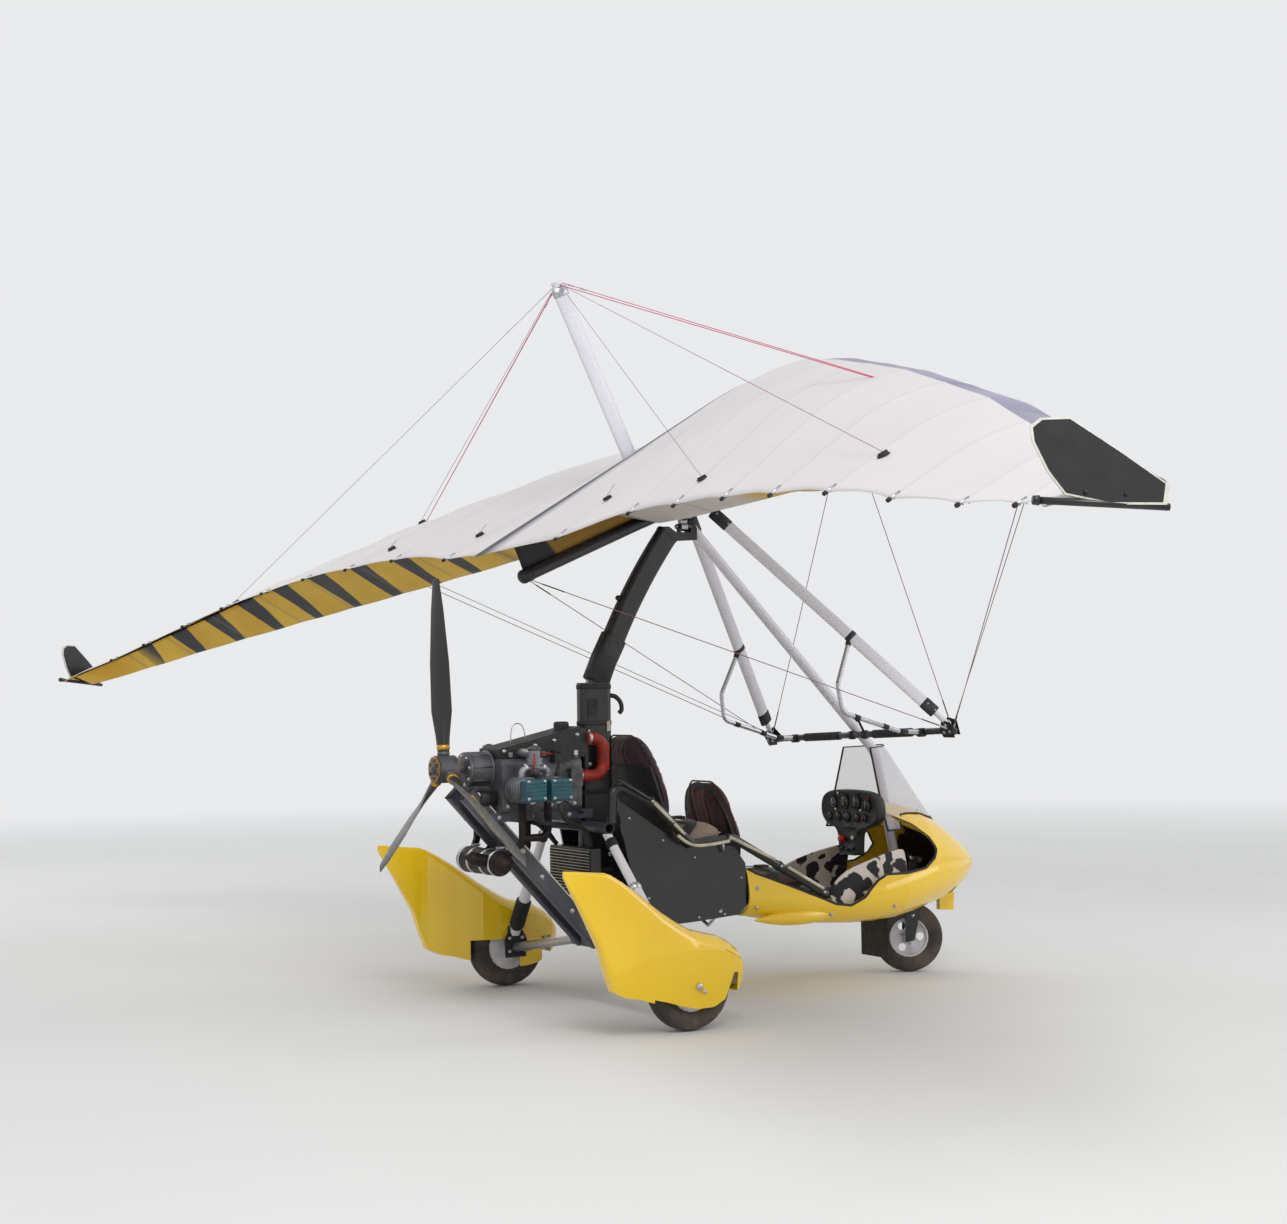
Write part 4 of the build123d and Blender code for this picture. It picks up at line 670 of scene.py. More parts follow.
# ---------------------------------------------------------------- carried-over pieces
FINISH = {
    yellow: ["pod", "spat_left", "spat_right"],
    black_gloss: ["side_panels"],
    black_plastic: ["seat_pan", "intake_box"],
    black_tube: ["mast_lower", "mast_upper", "mast_head", "side_rails", "radiator", "apex_bracket",
        "base_bar", "nose_fork",
                 "keel_tube"],
    grey_beam: ["rear_frame", "keel_beam", "cross_tube", "engine_bearers"],
    white_tube: ["front_strut", "king_post", "uprights", "suspension_struts"],
    silver: ["gear_arms", "hang_block", "nose_plates", "crossbars", "training_bars"],
    cast: ["engine_block", "gearbox", "propeller_hub"],
    alloy: ["cylinders"],
    teal: ["rocker_covers"],
    red_hose: ["intake_hose"],
    dull_steel: ["exhaust"],
    rubber: ["mud_flap"],
    rim_paint: ["nose_rim", "main_rim_left", "main_rim_right"],
    black_blade: ["blades"],
    pink_cord: ["upper_stays"],
    wire_plain: ["lower_stays"],
}
for material, names in FINISH.items():
    for name in names:
        obj = nodes[name]
        obj.data.materials.clear()
        obj.data.materials.append(material)

# ---------------------------------------------------------------- wing details
# Leading edge tubes, a little straighter towards the tips than their solids
LE_LINE = [(1.180, 0.066, 0), (-0.213, 2.810, 0.012), (-0.500, 3.190, 0.006), (-0.775, 3.600, 0.002),
    (-1.010, 3.920, 0.003),
           (-1.235, 4.200, 0.010)]
tubes = Build()
for side in (-1, 1):
    line = [Vector((x, side * y, z)) for x, y, z in LE_LINE]
    tubes.tube([line[0]] + curve_points(line[1:], 6), 0.026, 0, 20)
leading = tubes.make("leading_edge_tubes", "wing", [silver], "silver_tube", WING)
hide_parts("leading_edges")

# Winglets: outline in the wing's frame at the left, thin white edge,
# dark foot tube that runs on behind the fin
FIN_LINE = [(-1.551, 4.640, 0.036), (-1.578, 4.635, -0.008), (-1.691, 4.564, 0.045), (-1.772, 4.500, 0.112),
    (-1.780, 4.476, 0.184),
            (-1.773, 4.455, 0.270), (-1.757, 4.450, 0.306), (-1.726, 4.463, 0.315), (-1.668, 4.503, 0.290),
                (-1.608, 4.572, 0.165)]
fins = Build()
for side in (-1, 1):
    line = [Vector((x, side * y, z)) for x, y, z in FIN_LINE]
    middle = sum(line, Vector()) / len(line)
    out = Vector((fin_normal.x, side * fin_normal.y, fin_normal.z))
    n = len(line)
    for turn in (1, -1):
        rim = [middle + (p - middle) * 0.994 + out * turn * 0.0045 for p in line]
        field = [middle + (p - middle) * 0.945 + out * turn * 0.0052 for p in line]
        fins.add(line + rim, [(i, (i + 1) % n, n + (i + 1) % n, n + i) for i in range(n)], 1)
        fins.add(rim + field, [(i, (i + 1) % n, n + (i + 1) % n, n + i) for i in range(n)], 1)
        fins.add(field, [tuple(range(n))], 0)
    foot = [Vector((-1.570, side * 4.632, -0.016)), Vector((-1.839, side * 4.468, 0.128))]
    fins.tube([foot[0], foot[1]], 0.010, 2, 12)
    fins.tube([foot[1] - (foot[1] - foot[0]) * 0.02, foot[1] + (foot[1] - foot[0]) * 0.03], [0.014, 0.012],
        2, 12)
    for k in (0.3, 0.6):
        p = foot[0] + (foot[1] - foot[0]) * k
        fins.bolt(p + Vector((0.0, 0.0, 0.030)) + out * 0.0056, out, 0.0035, 2)
winglets = fins.make("winglet_fins", "wing", [black_gloss, mark_white, black_tube, silver], "winglet", WING)
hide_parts("winglets")


def on_sail(y, u, left, lift=0.004):
    rib = Section(y, left)
    p = Vector(rib.point(u * rib.c, rib.height(u * rib.c) + lift))
    return Vector((p.x, p.y if left else -p.y, p.z))


# Luff lines from the king post to pads near the trailing edge, and the second strand of the main stays
rig = Build()
king_eye = KING_TOP + Vector((0, 0, 0.010))
LUFF = [(2.93, 0.77, False), (1.61, 0.90, False), (0.63, 0.87, False), (1.99, 0.47, True),
    (3.31, 0.62, True), (1.45, 0.88, True),
        (0.63, 0.87, True)]
for y, u, left in LUFF:
    p = on_sail(y, u, left)
    q = on_sail(y, u + 0.02, left) - p
    rig.lathe(p - Vector((0, 0, 0.003)), (0, 0, 1), [(0, 0.024), (0.003, 0.024), (0.006, 0.017)], 2, 16)
    rig.tube([p + Vector((0.02, 0, 0.006)), p + Vector((-0.02, 0, 0.004))], 0.005, 2, 8)
    if (y, left) in ((2.93, False), (1.99, True), (3.31, True), (1.61, False)):
        rig.tube([king_eye + Vector((0, 0.02 if left else -0.02, 0)), p + Vector((0, 0, 0.010))], 0.0013, 1,
            6)
    else:
        rig.tube([p + Vector((0, 0, 0.010)), on_sail(y, u - 0.03, left) + Vector((0, 0, 0.03))], 0.0013, 1, 6)
for side in (-1, 1):
    eye = king_eye + Vector((0.014, side * 0.024, 0))
    target = JUNCTION.copy()
    target.y *= side
    run = target - eye
    rig.tube([eye, eye + run * 0.865], 0.0018, 0, 6)
    hole = eye + run * 0.868
    rig.lathe(hole - run.normalized() * 0.012, -run, [(0, 0.013), (0.010, 0.011)], 2, 12)
    for k in (0.018, 0.05):
        rig.tube([eye + run * k, eye + run * (k + 0.012)], 0.0045, 3, 8)
rig.make("luff_lines", "wing", [pink_cord, wire_plain, rubber, silver], "steel_bolt", WING)

# Second strand, swaged ends and shackles of the lower rigging
low = Build()
for side in (-1, 1):
    corner = Vector((BAR_X, side * BAR_HALF, -BAR_DROP))
    runs = [Vector((NOSE_X - 90.0 / 1000, side * 0.046, -0.036)),
        Vector((TAIL_X + 0.030, side * 0.012, -0.031)),
            Vector((JUNCTION.x, side * JUNCTION.y, JUNCTION.z))]
    for k, far_point in enumerate(runs):
        d = (far_point - corner).normalized()
        low.tube([corner + d * 0.030, corner + d * 0.075], [0.006, 0.004], 1, 8)
        low.tube([corner + d * 0.075, corner + d * 0.16], 0.0032, 2, 8)
        reach_here = (far_point - corner).length
        low.tube([corner + d * (reach_here - 0.16), corner + d * (reach_here - 0.05)], 0.0032, 2, 8)
    d = runs[2] - corner
    start, stop = corner + Vector((0.012, 0, 0.02)), corner + d * 0.955 + Vector((0.050, 0, 0))
    low.tube([start, stop], 0.0018, 2, 6)
    # corner bracket, with its bolts
    for off in (-0.021, 0.017):
        low.slab([corner + Vector((off, side * 0.018, -0.030)), corner + Vector((off, side * 0.030, 0.045)),
                  corner + Vector((off, -side * 0.030, 0.062)), corner + Vector((off, -side * 0.070, 0.012)),
                  corner + Vector((off, -side * 0.060, -0.026))], (0.004, 0, 0), 0)
    for dy, dz in ((0.002, 0.002), (-0.040, 0.000), (-0.012, 0.036)):
        low.bolt(corner + Vector((0.021, side * dy, dz)), (1, 0, 0), 0.006, 1)
        low.bolt(corner + Vector((-0.021, side * dy, dz)), (-1, 0, 0), 0.006, 1)
low.make("lower_fittings", "wing", [black_plastic, silver, black_tube], "steel_bolt", WING, bevel=0.0012)

# Control frame: sleeves on the uprights, grips and clamps on the bar, joints of the training bars
UP_TOP, UP_FOOT = Vector((0.097, 0.082, -0.052)), Vector((0.499, 0.746, -1.420))
control = Build()


def oval_sleeve(build, a, b, chord, thick, material, rim=0.004, sides=28):
    """Streamlined sleeve from a to b with rounded ends."""
    d = (b - a).normalized()
    x = (Vector((1, 0, 0)) - d * d.x).normalized()
    y = d.cross(x)
    rows = [(0.0, -rim), (rim, 0.0), ((b - a).length - rim, 0.0), ((b - a).length, -rim)]
    verts = [a + d * s + x * math.cos(t) * (chord / 2 + g) + y * math.sin(t) * (thick / 2 + g)
             for s, g in rows for t in (2 * math.pi * k / sides for k in range(sides))]
    faces = wall(len(rows), sides)
    faces += lids(len(rows), sides)
    build.add(verts, faces, material)


for side in (-1, 1):
    top = Vector((UP_TOP.x, side * UP_TOP.y, UP_TOP.z))
    foot = Vector((UP_FOOT.x, side * UP_FOOT.y, UP_FOOT.z))
    d = (foot - top).normalized()
    length = (foot - top).length
    oval_sleeve(control, top + d * 0.044, top + d * 0.150, 0.071, 0.035, 0)
    oval_sleeve(control, top + d * (length - 0.170), top + d * (length - 0.094), 0.071, 0.035, 0)
    oval_sleeve(control, top + d * 0.925, top + d * 0.955, 0.070, 0.034, 0)
    for s in (0.060, 0.135, length - 0.155, length - 0.108):
        control.bolt(top + d * s + Vector((0, side * 0.016, 0)), (0, side, 0), 0.004, 1)
    control.lathe((BAR_X, side * 0.14, -BAR_DROP), (0, side, 0),
                  [(0, 0.017), (0.004, 0.0215)] + [(0.012 + 0.012 * k,
                      0.0205 + 0.0012 * (k % 2)) for k in range(24)]
                  + [(0.300, 0.0215), (0.306, 0.017)], 2, 24)
    train_y = side * 0.510
    near = top + d * 0.938
    e = (Vector((0.150, train_y - side * 0.008, -1.040)) - near).normalized()
    control.tube([near + e * 0.010, near + e * 0.050], [0.015, 0.0135], 0, 12)
    a, b = Vector((0.112, train_y, -1.170)), Vector((0.375, train_y + side * 0.010, -1.385))
    for k in (0.25, 0.75):
        p = a + (b - a) * k
        control.tube([p - (b - a).normalized() * 0.016, p + (b - a).normalized() * 0.016], 0.0132, 0, 12)
    end = Vector((BAR_X - 0.008, train_y + side * 0.016, -BAR_DROP))
    control.lathe(end - Vector((0, 0.022, 0)), (0, 1, 0),
        [(0, 0.0175), (0.002, 0.0215), (0.042, 0.0215), (0.044, 0.0175)], 0, 20)
    control.tube([b, b + (end - b) * 0.35], 0.0128, 0, 12)
for y, rise in ((-0.085, 0.060), (0.02, 0.0)):
    control.lathe((BAR_X, y, -BAR_DROP), (0, 1, 0),
        [(0, 0.017), (0.003, 0.022), (0.033, 0.022), (0.036, 0.017)], 0, 20)
    if rise:
        control.tube([(BAR_X, y + 0.018, -BAR_DROP + 0.018),
            (BAR_X - 0.006, y + 0.018, -BAR_DROP + 0.018 + rise)], 0.006, 0, 10)
        control.lathe((BAR_X - 0.006, y + 0.018, -BAR_DROP + rise + 0.014), (0, 0, 1),
                      [(0, 0.006), (0.006, 0.014), (0.018, 0.017), (0.030, 0.012), (0.034, 0.004)], 0, 16)
# keel tail plug, king post collar and cap
control.lathe((TAIL_X - 0.004, 0, 0), (-1, 0, 0),
    [(-0.05, 0.0335), (-0.004, 0.0335), (0.008, 0.029), (0.016, 0.018), (0.018, 0.004)], 0, 24)
oval_sleeve(control, KING_FOOT + Vector((0, 0, 0.004)), KING_FOOT + (KING_TOP - KING_FOOT) * 0.045, 0.090,
    0.046, 0)
king_dir = (KING_TOP - KING_FOOT).normalized()
oval_sleeve(control, KING_TOP - king_dir * 0.050, KING_TOP - king_dir * 0.002, 0.086, 0.042, 1)
for side in (-1, 1):
    control.bolt(KING_TOP - king_dir * 0.026 + Vector((0, side * 0.0212, 0)), (0, side, 0), 0.005, 1)
control.make("control_trim", "wing", [black_plastic, silver, rubber], "black_plastic", WING)

# Bolt heads at the hang point
head = Build()
for off in (-1, 1):
    head.bolt((pin_x + off * 0.035, 0, roll_z), (off, 0, 0), 0.009, 0)
head.make("head_bolts", "trike", [silver], "steel_bolt", TRIKE)

# ---------------------------------------------------------------- frame and mast details
mast = Build()
MAST_ARC = [(0.073, 1.500), (0.122, 1.608), (0.180, 1.715)]
arc = [Vector((x, 0, z)) for x, z in MAST_ARC]


def box_sleeve(build, points, depth, width, radius, material, rim=0.004, steps=6):
    """Rounded box sleeve along points in the XZ plane."""
    rows = []
    for i, p in enumerate(points):
        a, b = points[max(i - 1, 0)], points[min(i + 1, len(points) - 1)]
        d = (b - a).normalized()
        x = Vector((d.z, 0, -d.x))
        rows.append((p, d, x))
    ring = []
    for cx, cy, t0 in ((1, 1, 0), (-1, 1, 90), (-1, -1, 180), (1, -1, 270)):
        for k in range(steps + 1):
            t = math.radians(t0 + 90 * k / steps)
            ring.append((cx * (depth / 2 - radius) + radius * math.cos(t),
                cy * (width / 2 - radius) + radius * math.sin(t)))
    n = len(ring)
    verts = []
    full = [(rows[0][0], rows[0][2], 1 - 2 * rim / width)] + [(p + d * (rim if i == 0 else 0), x,
        1.0) for i, (p, d, x) in
                                                             enumerate(rows[:-1])]
    p, d, x = rows[-1]
    full += [(p - d * rim, x, 1.0), (p, x, 1 - 2 * rim / width)]
    for p, x, k in full:
        verts += [p + x * u * k + Vector((0, v * k, 0)) for u, v in ring]
    m = len(full)
    faces = wall(m, n)
    faces += lids(m, n)
    build.add(verts, faces, material)


box_sleeve(mast, arc, 0.128, 0.072, 0.027, 0)
for z in (0.62, 0.98, 1.30, 1.47):
    box_sleeve(mast, [Vector((0.065, 0, z)), Vector((0.065, 0, z + 0.022))], 0.170, 0.081, 0.032, 2, 0.002)
# lifting knob on the upper mast, cable hook and blank tag on the lower one
mast.tube([(0.240, 0, 1.892), (0.206, 0, 1.900), (0.196, 0, 1.903)], [0.011, 0.014, 0.010], 0, 14)
mast.tube(curve_points([(0.140, -0.020, 1.440), (0.172, -0.022, 1.432), (0.198, -0.022, 1.405),
    (0.203, -0.022, 1.372),
                        (0.190, -0.022, 1.356)], 6), 0.011, 0, 12)
mast.slab([(0.010, -0.0395, 1.425), (0.062, -0.0395, 1.425), (0.062, -0.0395, 1.335),
    (0.010, -0.0395, 1.335)], (0, -0.002, 0), 2)
mast.slab([(0.010, 0.0395, 1.425), (0.062, 0.0395, 1.425), (0.062, 0.0395, 1.335), (0.010, 0.0395, 1.335)],
    (0, 0.002, 0), 2)
mast.slab([(0.110, -0.0400, 1.318), (0.128, -0.0400, 1.322), (0.130, -0.0400, 1.276),
    (0.112, -0.0400, 1.272)], (0, -0.003, 0), 3)
for x, z in ((0.0, 0.70), (0.12, 0.70), (0.0, 0.90), (0.12, 0.90), (0.02, 1.12), (0.11, 1.12), (0.03, 1.22),
    (0.10, 1.22)):
    for side in (-1, 1):
        mast.bolt((x, side * 0.0385, z), (0, side, 0), 0.007, 1)
mast.make("mast_trim", "trike", [black_plastic, silver, rubber, cream], "black_plastic", TRIKE)

rails = Build()
# painted highlight: cream strips (the first one black) on the rails' outer upper face stand for the glint of
# light on the glossy black rails
GLINT_STRIPS = [[(-0.010, 1.055), (0.150, 0.965)], [(0.174, 0.947), (0.265, 0.864)],
    [(0.282, 0.846), (0.325, 0.806)],
          [(0.300, 0.792), (0.345, 0.760), (0.400, 0.742), (0.490, 0.744), (0.578, 0.753)],
              [(0.585, 0.772), (0.835, 0.655)],
          [(0.914, 0.612), (1.116, 0.500)]]
for side in (-1, 1):
    for k, strip in enumerate(GLINT_STRIPS):
        line = [Vector((x, side * 0.3545, z)) for x, z in strip]
        line = curve_points(line, 5) if len(line) > 2 else line
        d0, d1 = (line[1] - line[0]).normalized() * 0.004, (line[-1] - line[-2]).normalized() * 0.004
        rails.tube([line[0] - d0] + line + [line[-1] + d1], [0.004] + [0.0075] * len(line) + [0.004],
            1 if k else 2, 12)
    for x, z, dx, dz in ((0.165, 0.955, 0.82, -0.57), (0.273, 0.858, 0.72, -0.69),
        (0.332, 0.800, 0.72, -0.69),
                         (0.585, 0.763, 1.0, 0.02), (0.875, 0.620, 0.87, -0.49), (1.125, 0.482, 0.87, -0.49)):
        p = Vector((x, side * 0.330, z))
        d = Vector((dx, 0, dz)).normalized()
        rails.tube([p - d * 0.011, p - d * 0.009, p + d * 0.009, p + d * 0.011],
            [0.020, 0.0235, 0.0235, 0.020], 0, 18)
        rails.bolt(p + Vector((0, side * 0.0235, 0)), (0, side, 0), 0.005, 3)
    # bolts round the side panels
    for x, z in ((0.070, 0.880), (0.251, 0.770), (0.422, 0.683), (0.680, 0.575), (0.583, 0.410),
        (0.440, 0.405), (0.170, 0.510)):
        rails.bolt((x, side * 0.3005, z), (0, side, 0), 0.0040, 3)
    # stays from the rail to the seat pan, and the small strut below the panel
    rails.tube([(0.560, side * 0.330, 0.745), (0.575, side * 0.312, 0.700)], 0.006, 3, 10)
    rails.tube([(0.560, side * 0.306, 0.430), (0.555, side * 0.200, 0.352), (0.548, side * 0.030, 0.425)],
        0.008, 3, 10)
rails.make("rail_trim", "trike", [rubber, cream, black_tube, silver], "black_plastic", TRIKE)

# ---------------------------------------------------------------- seats
def seat_cloth(name, color, worn, panel=None, half_panel=0.062):
    """Woven seat cloth, with a paler middle panel and darker sewn stripes in it."""
    s = Shader(name)
    where = s.add("ShaderNodeSeparateXYZ")
    s.link(s.place.outputs["Object"], where.inputs[0])
    wide = s.maths("ABSOLUTE", where.outputs[1])
    shade = s.mix(s.span(s.noise(7.0, 4.0), 0.35, 0.7, 0.0, 0.6), color, worn)
    if panel:
        stripe = s.span(s.maths("PINGPONG", s.maths("MULTIPLY", wide, 24.0), 0.5), 0.20, 0.26)
        striped = s.mix(s.maths("MULTIPLY", stripe, 0.55), panel, color)
        shade = s.mix(s.span(wide, half_panel, half_panel + 0.003, 1.0, 0.0), shade, striped)
    threads = []
    for axis in (1, 2):
        threads.append(s.maths("PINGPONG", s.maths("MULTIPLY", where.outputs[axis], 420.0), 0.5))
    weave = s.maths("MULTIPLY", s.maths("ADD", threads[0], threads[1]), 1.0)
    s.link(s.mix(s.maths("MULTIPLY", weave, 0.28), shade, (0.0, 0.0, 0.0, 1.0)), s.bsdf.inputs["Base Color"])
    s.bump(s.maths("ADD", weave, s.maths("MULTIPLY", s.noise(30.0, 3.0), 1.5)), 0.4, 0.0008)
    s.constant(rough=0.85, sheen=0.3, sheen_rough=0.4)
    return s.material


front_cloth = seat_cloth("front_seat_cloth", srgb(0.27, 0.165, 0.18), srgb(0.36, 0.23, 0.24),
    srgb(0.45, 0.30, 0.27))
rear_cloth = seat_cloth("rear_seat_cloth", srgb(0.20, 0.12, 0.15), srgb(0.28, 0.17, 0.19),
    srgb(0.30, 0.19, 0.20))
base_cloth = seat_cloth("seat_base_cloth", srgb(0.73, 0.65, 0.58), srgb(0.62, 0.54, 0.47))


def swell(obj, cap, voxel=0.006):
    """Lets a pad swell in a short cloth simulation and keeps the result."""
    scene = bpy.context.scene

    def settled():
        graph = bpy.context.evaluated_depsgraph_get()
        return bpy.data.meshes.new_from_object(obj.evaluated_get(graph))

    even = obj.modifiers.new("even", "REMESH")
    even.mode, even.voxel_size = "VOXEL", voxel
    mesh = settled()
    obj.modifiers.clear()
    obj.data = mesh
    start = [v.co.copy() for v in mesh.vertices]
    cloth_mod = obj.modifiers.new("cloth", "CLOTH")
    cloth_mod.settings.quality = 5
    cloth_mod.settings.use_pressure = True
    cloth_mod.settings.uniform_pressure_force = 4.0
    cloth_mod.settings.effector_weights.gravity = 0.0
    cloth_mod.point_cache.frame_start, cloth_mod.point_cache.frame_end = 1, 20
    for frame_number in range(1, 21):
        scene.frame_set(frame_number)
    moved = settled()
    obj.modifiers.clear()
    for v, old, new in zip(mesh.vertices, start, moved.vertices):
        step = new.co - old
        if step.length > cap:
            step *= cap / step.length
        v.co = old + step
    bpy.data.meshes.remove(moved)
    scene.frame_set(1)


def seat_pad(name, a, b, half, low_side, high_side, shape, material, node, seams, crown=0.10):
    """Crowned pad from a to b in the side view, between two distances in front of that line."""
    a, b = Vector((a[0], 0, a[1])), Vector((b[0], 0, b[1]))
    length = (b - a).length
    d = (b - a) / length
    up = Vector((-d.z, 0, d.x))
    if up.x + 0.3 * up.z < 0:
        up = -up
    rows, sides = 56, 72
    verts, faces = [], []
    thick = (high_side - low_side) / 2
    for i in range(rows + 1):
        t = i / rows
        u = 0.5 - 0.5 * math.cos(math.pi * t)
        end = (1 - abs(2 * u - 1) ** 5) ** 0.35 if 0 < t < 1 else 0.0
        w = half * shape(u) * (0.90 + 0.10 * end)
        h = thick * max(end, 0.02)
        for k in range(sides):
            g = 2 * math.pi * k / sides
            cy, cz = math.cos(g), math.sin(g)
            y = w * math.copysign(abs(cy) ** 0.45, cy)
            z = h * math.copysign(abs(cz) ** 0.55, cz)
            if cz > 0:
                z *= 1 + crown * math.cos(math.pi * 0.5 * y / half) * math.sin(math.pi * u)
            verts.append(a + d * (u * length) + up * ((low_side + high_side) / 2 + z) + Vector((0, y, 0)))
    for i in range(rows):
        for k in range(sides):
            faces.append((i * sides + k, i * sides + (k + 1) % sides, (i + 1) * sides + (k + 1) % sides,
                (i + 1) * sides + k))
    faces += [tuple(reversed(range(sides))), tuple(rows * sides + k for k in range(sides))]
    verts = [TRIKE @ v for v in verts]
    pad = piece(name, verts, faces, "trike", [material])
    turn_out(pad)
    swell(pad, 0.010)
    pad.data.polygons.foreach_set("use_smooth", [True] * len(pad.data.polygons))
    mesh = pad.data
    normals = [v.normal.copy() for v in mesh.vertices]
    origin = TRIKE @ a
    for v, normal in zip(mesh.vertices, normals):
        along = (v.co - origin).dot(d)
        depth = 0.0
        for kind, where, width, deep in seams:
            off = abs(v.co.y) - where if kind == "long" else along - where * length
            if kind == "cross" and abs(v.co.y) > half * 0.8:
                continue
            depth = max(depth, deep * math.exp(-(off / width) ** 2))
        v.co -= normal * depth
    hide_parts(node)
    # welt along the widest line
    rim = Build()
    path = []
    for side in (1, -1):
        steps = [i / 40 for i in range(1, 40)]
        for t in steps if side == 1 else reversed(steps):
            u = 0.5 - 0.5 * math.cos(math.pi * t)
            end = (1 - abs(2 * u - 1) ** 5) ** 0.35
            path.append(a + d * (u * length) + up * ((low_side + high_side) / 2) + Vector((0,
                side * (half * shape(u) * (0.90 + 0.10 * end) + 0.003), 0)))
    path.append(path[0])
    rim.tube(path, 0.0042, 0, 8, closed_ends=False)
    rim.make(name + "_welt", "trike", [material], "seat_brown", TRIKE)
    return pad


def oval(u):
    """Width of an oval seat back along its length, narrower at the top."""
    return (0.40 + 0.60 * math.sin(math.pi * min(u, 0.52) / 1.04) ** 0.55) * (1.0 - 0.30 * max(0.0,
        (u - 0.55) / 0.45) ** 2)


BACK_SEAMS = [("long", 0.064, 0.005, 0.007), ("long", 0.128, 0.006, 0.006)]
BASE_SEAMS = [("long", 0.075, 0.006, 0.006), ("cross", 0.5, 0.006, 0.005)]
seat_pad("front_seat_back_pad", (0.640, 1.012), (0.762, 0.606), 0.188, -0.016, 0.058, oval, front_cloth,
    "front_seat_back",
                      BACK_SEAMS)
seat_pad("rear_seat_back_pad", (0.168, 1.232), (0.318, 0.812), 0.198, 0.000, 0.104, oval, rear_cloth,
    "rear_seat_back",
                     BACK_SEAMS)
seat_pad("front_seat_base_pad", (0.855, 0.482), (1.165, 0.493), 0.198, 0.002, 0.074, lambda u: 1.0,
    front_cloth,
                      "front_seat_base", BASE_SEAMS)
seat_pad("rear_seat_base_pad", (0.425, 0.704), (0.640, 0.737), 0.206, 0.002, 0.092, lambda u: 1.0, base_cloth,
                     "rear_seat_base", BASE_SEAMS)

# Lap belts: flat webbing over the bases, with buckles
belts = Build()
for x, z, half, anchor_x, anchor_z in ((0.520, 0.832, 0.205, 0.400, 0.735),
    (1.000, 0.572, 0.198, 0.860, 0.500)):
    line = curve_points([(anchor_x, -half - 0.026, anchor_z), (anchor_x + 0.03, -half - 0.018, z - 0.030),
        (x - 0.03, -half * 0.86, z + 0.004),
                         (x, -half * 0.4, z + 0.010), (x, 0, z + 0.012), (x, half * 0.4, z + 0.010),
                             (x - 0.03, half * 0.86, z + 0.004),
                         (anchor_x + 0.03, half + 0.018, z - 0.030), (anchor_x, half + 0.026, anchor_z)], 7)
    verts, faces = [], []
    for i, p in enumerate(line):
        e = (line[min(i + 1, len(line) - 1)] - line[max(i - 1, 0)]).normalized()
        flat = Vector((1, 0, 0)) - e * e.x
        flat.normalize()
        lift = e.cross(flat)
        verts += [p + flat * 0.022 + lift * 0.001, p - flat * 0.022 + lift * 0.001,
            p - flat * 0.022 - lift * 0.001, p + flat * 0.022 - lift * 0.001]
    for i in range(len(line) - 1):
        faces += [(4 * i + k, 4 * i + (k + 1) % 4, 4 * i + 4 + (k + 1) % 4, 4 * i + 4 + k) for k in range(4)]
    faces += [(3, 2, 1, 0), tuple(4 * (len(line) - 1) + k for k in range(4))]
    belts.add(verts, faces, 0)
    belts.slab([(x - 0.026, -0.030, z + 0.012), (x + 0.026, -0.030, z + 0.012),
        (x + 0.026, 0.030, z + 0.012), (x - 0.026, 0.030, z + 0.012)],
               (0, 0, 0.012), 1)
    belts.slab([(x - 0.014, -0.020, z + 0.024), (x + 0.014, -0.020, z + 0.024),
        (x + 0.014, 0.002, z + 0.024), (x - 0.014, 0.002, z + 0.024)],
               (0, 0, 0.003), 2)
belts.make("lap_belts", "trike", [black_cloth, black_plastic, red_plastic], "black_plastic", TRIKE,
    bevel=0.0015)

# ---------------------------------------------------------------- cockpit
HEAD_X = 1.953
pod_shell = nodes["pod"]
pod_tree = BVHTree.FromPolygons([pod_shell.matrix_world @ v.co for v in pod_shell.data.vertices],
                                [tuple(p.vertices) for p in pod_shell.data.polygons])
OPENING = [(0.722, 0.617), (0.766, 0.592), (1.010, 0.500), (1.200, 0.425), (1.290, 0.412), (1.370, 0.445),
    (1.450, 0.520),
           (1.510, 0.548), (1.650, 0.545), (1.790, 0.560), (1.862, 0.600), (1.885, 0.640), (1.850, 0.695),
               (1.750, 0.765),
           (1.630, 0.815)]


def hull_point(x, z, side, off=0.0):
    """Outer surface of the pod at x, z, seen from one side, or None."""
    hit = pod_tree.ray_cast(TRIKE @ Vector((x, side * 1.0, z)), Vector((0, -side, 0)))[0]
    return None if hit is None else Vector((x, hit.y + side * off, z))


def outward(points, i, distance):
    a, b = Vector(points[max(i - 1, 0)]), Vector(points[min(i + 1, len(points) - 1)])
    d = (b - a).normalized()
    return points[i][0] + d.y * distance, points[i][1] - d.x * distance


trim = Build()
for side in (-1, 1):
    line = []
    for i in range(len(OPENING) - 1):
        for k in range(5):
            t = k / 5
            p = (OPENING[i][0] + t * (OPENING[i + 1][0] - OPENING[i][0]),
                OPENING[i][1] + t * (OPENING[i + 1][1] - OPENING[i][1]))
            line.append(p)
    line.append(OPENING[-1])
    edge = []
    for i in range(len(line)):
        x, z = outward(line, i, 0.005)
        p = hull_point(x, z, side, -0.002)
        if p is not None and abs(p.y) > 0.02 and abs(p.y) < 0.36:
            if not edge or (p - edge[-1]).length < 0.09:
                edge.append(p)
    trim.tube(edge, 0.0062, 0, 10)
over = []
for i in range(25):
    y = -0.262 + 0.524 * i / 24
    hit = pod_tree.ray_cast(TRIKE @ Vector((1.640, y, 2.0)), Vector((0, 0, -1)))[0]
    if hit is not None and hit.z > 0.78:
        over.append(Vector((1.624, y, hit.z)))
trim.tube(over, 0.0062, 0, 10)
trim.make("cockpit_edge", "trike", [rubber], "rubber", TRIKE)

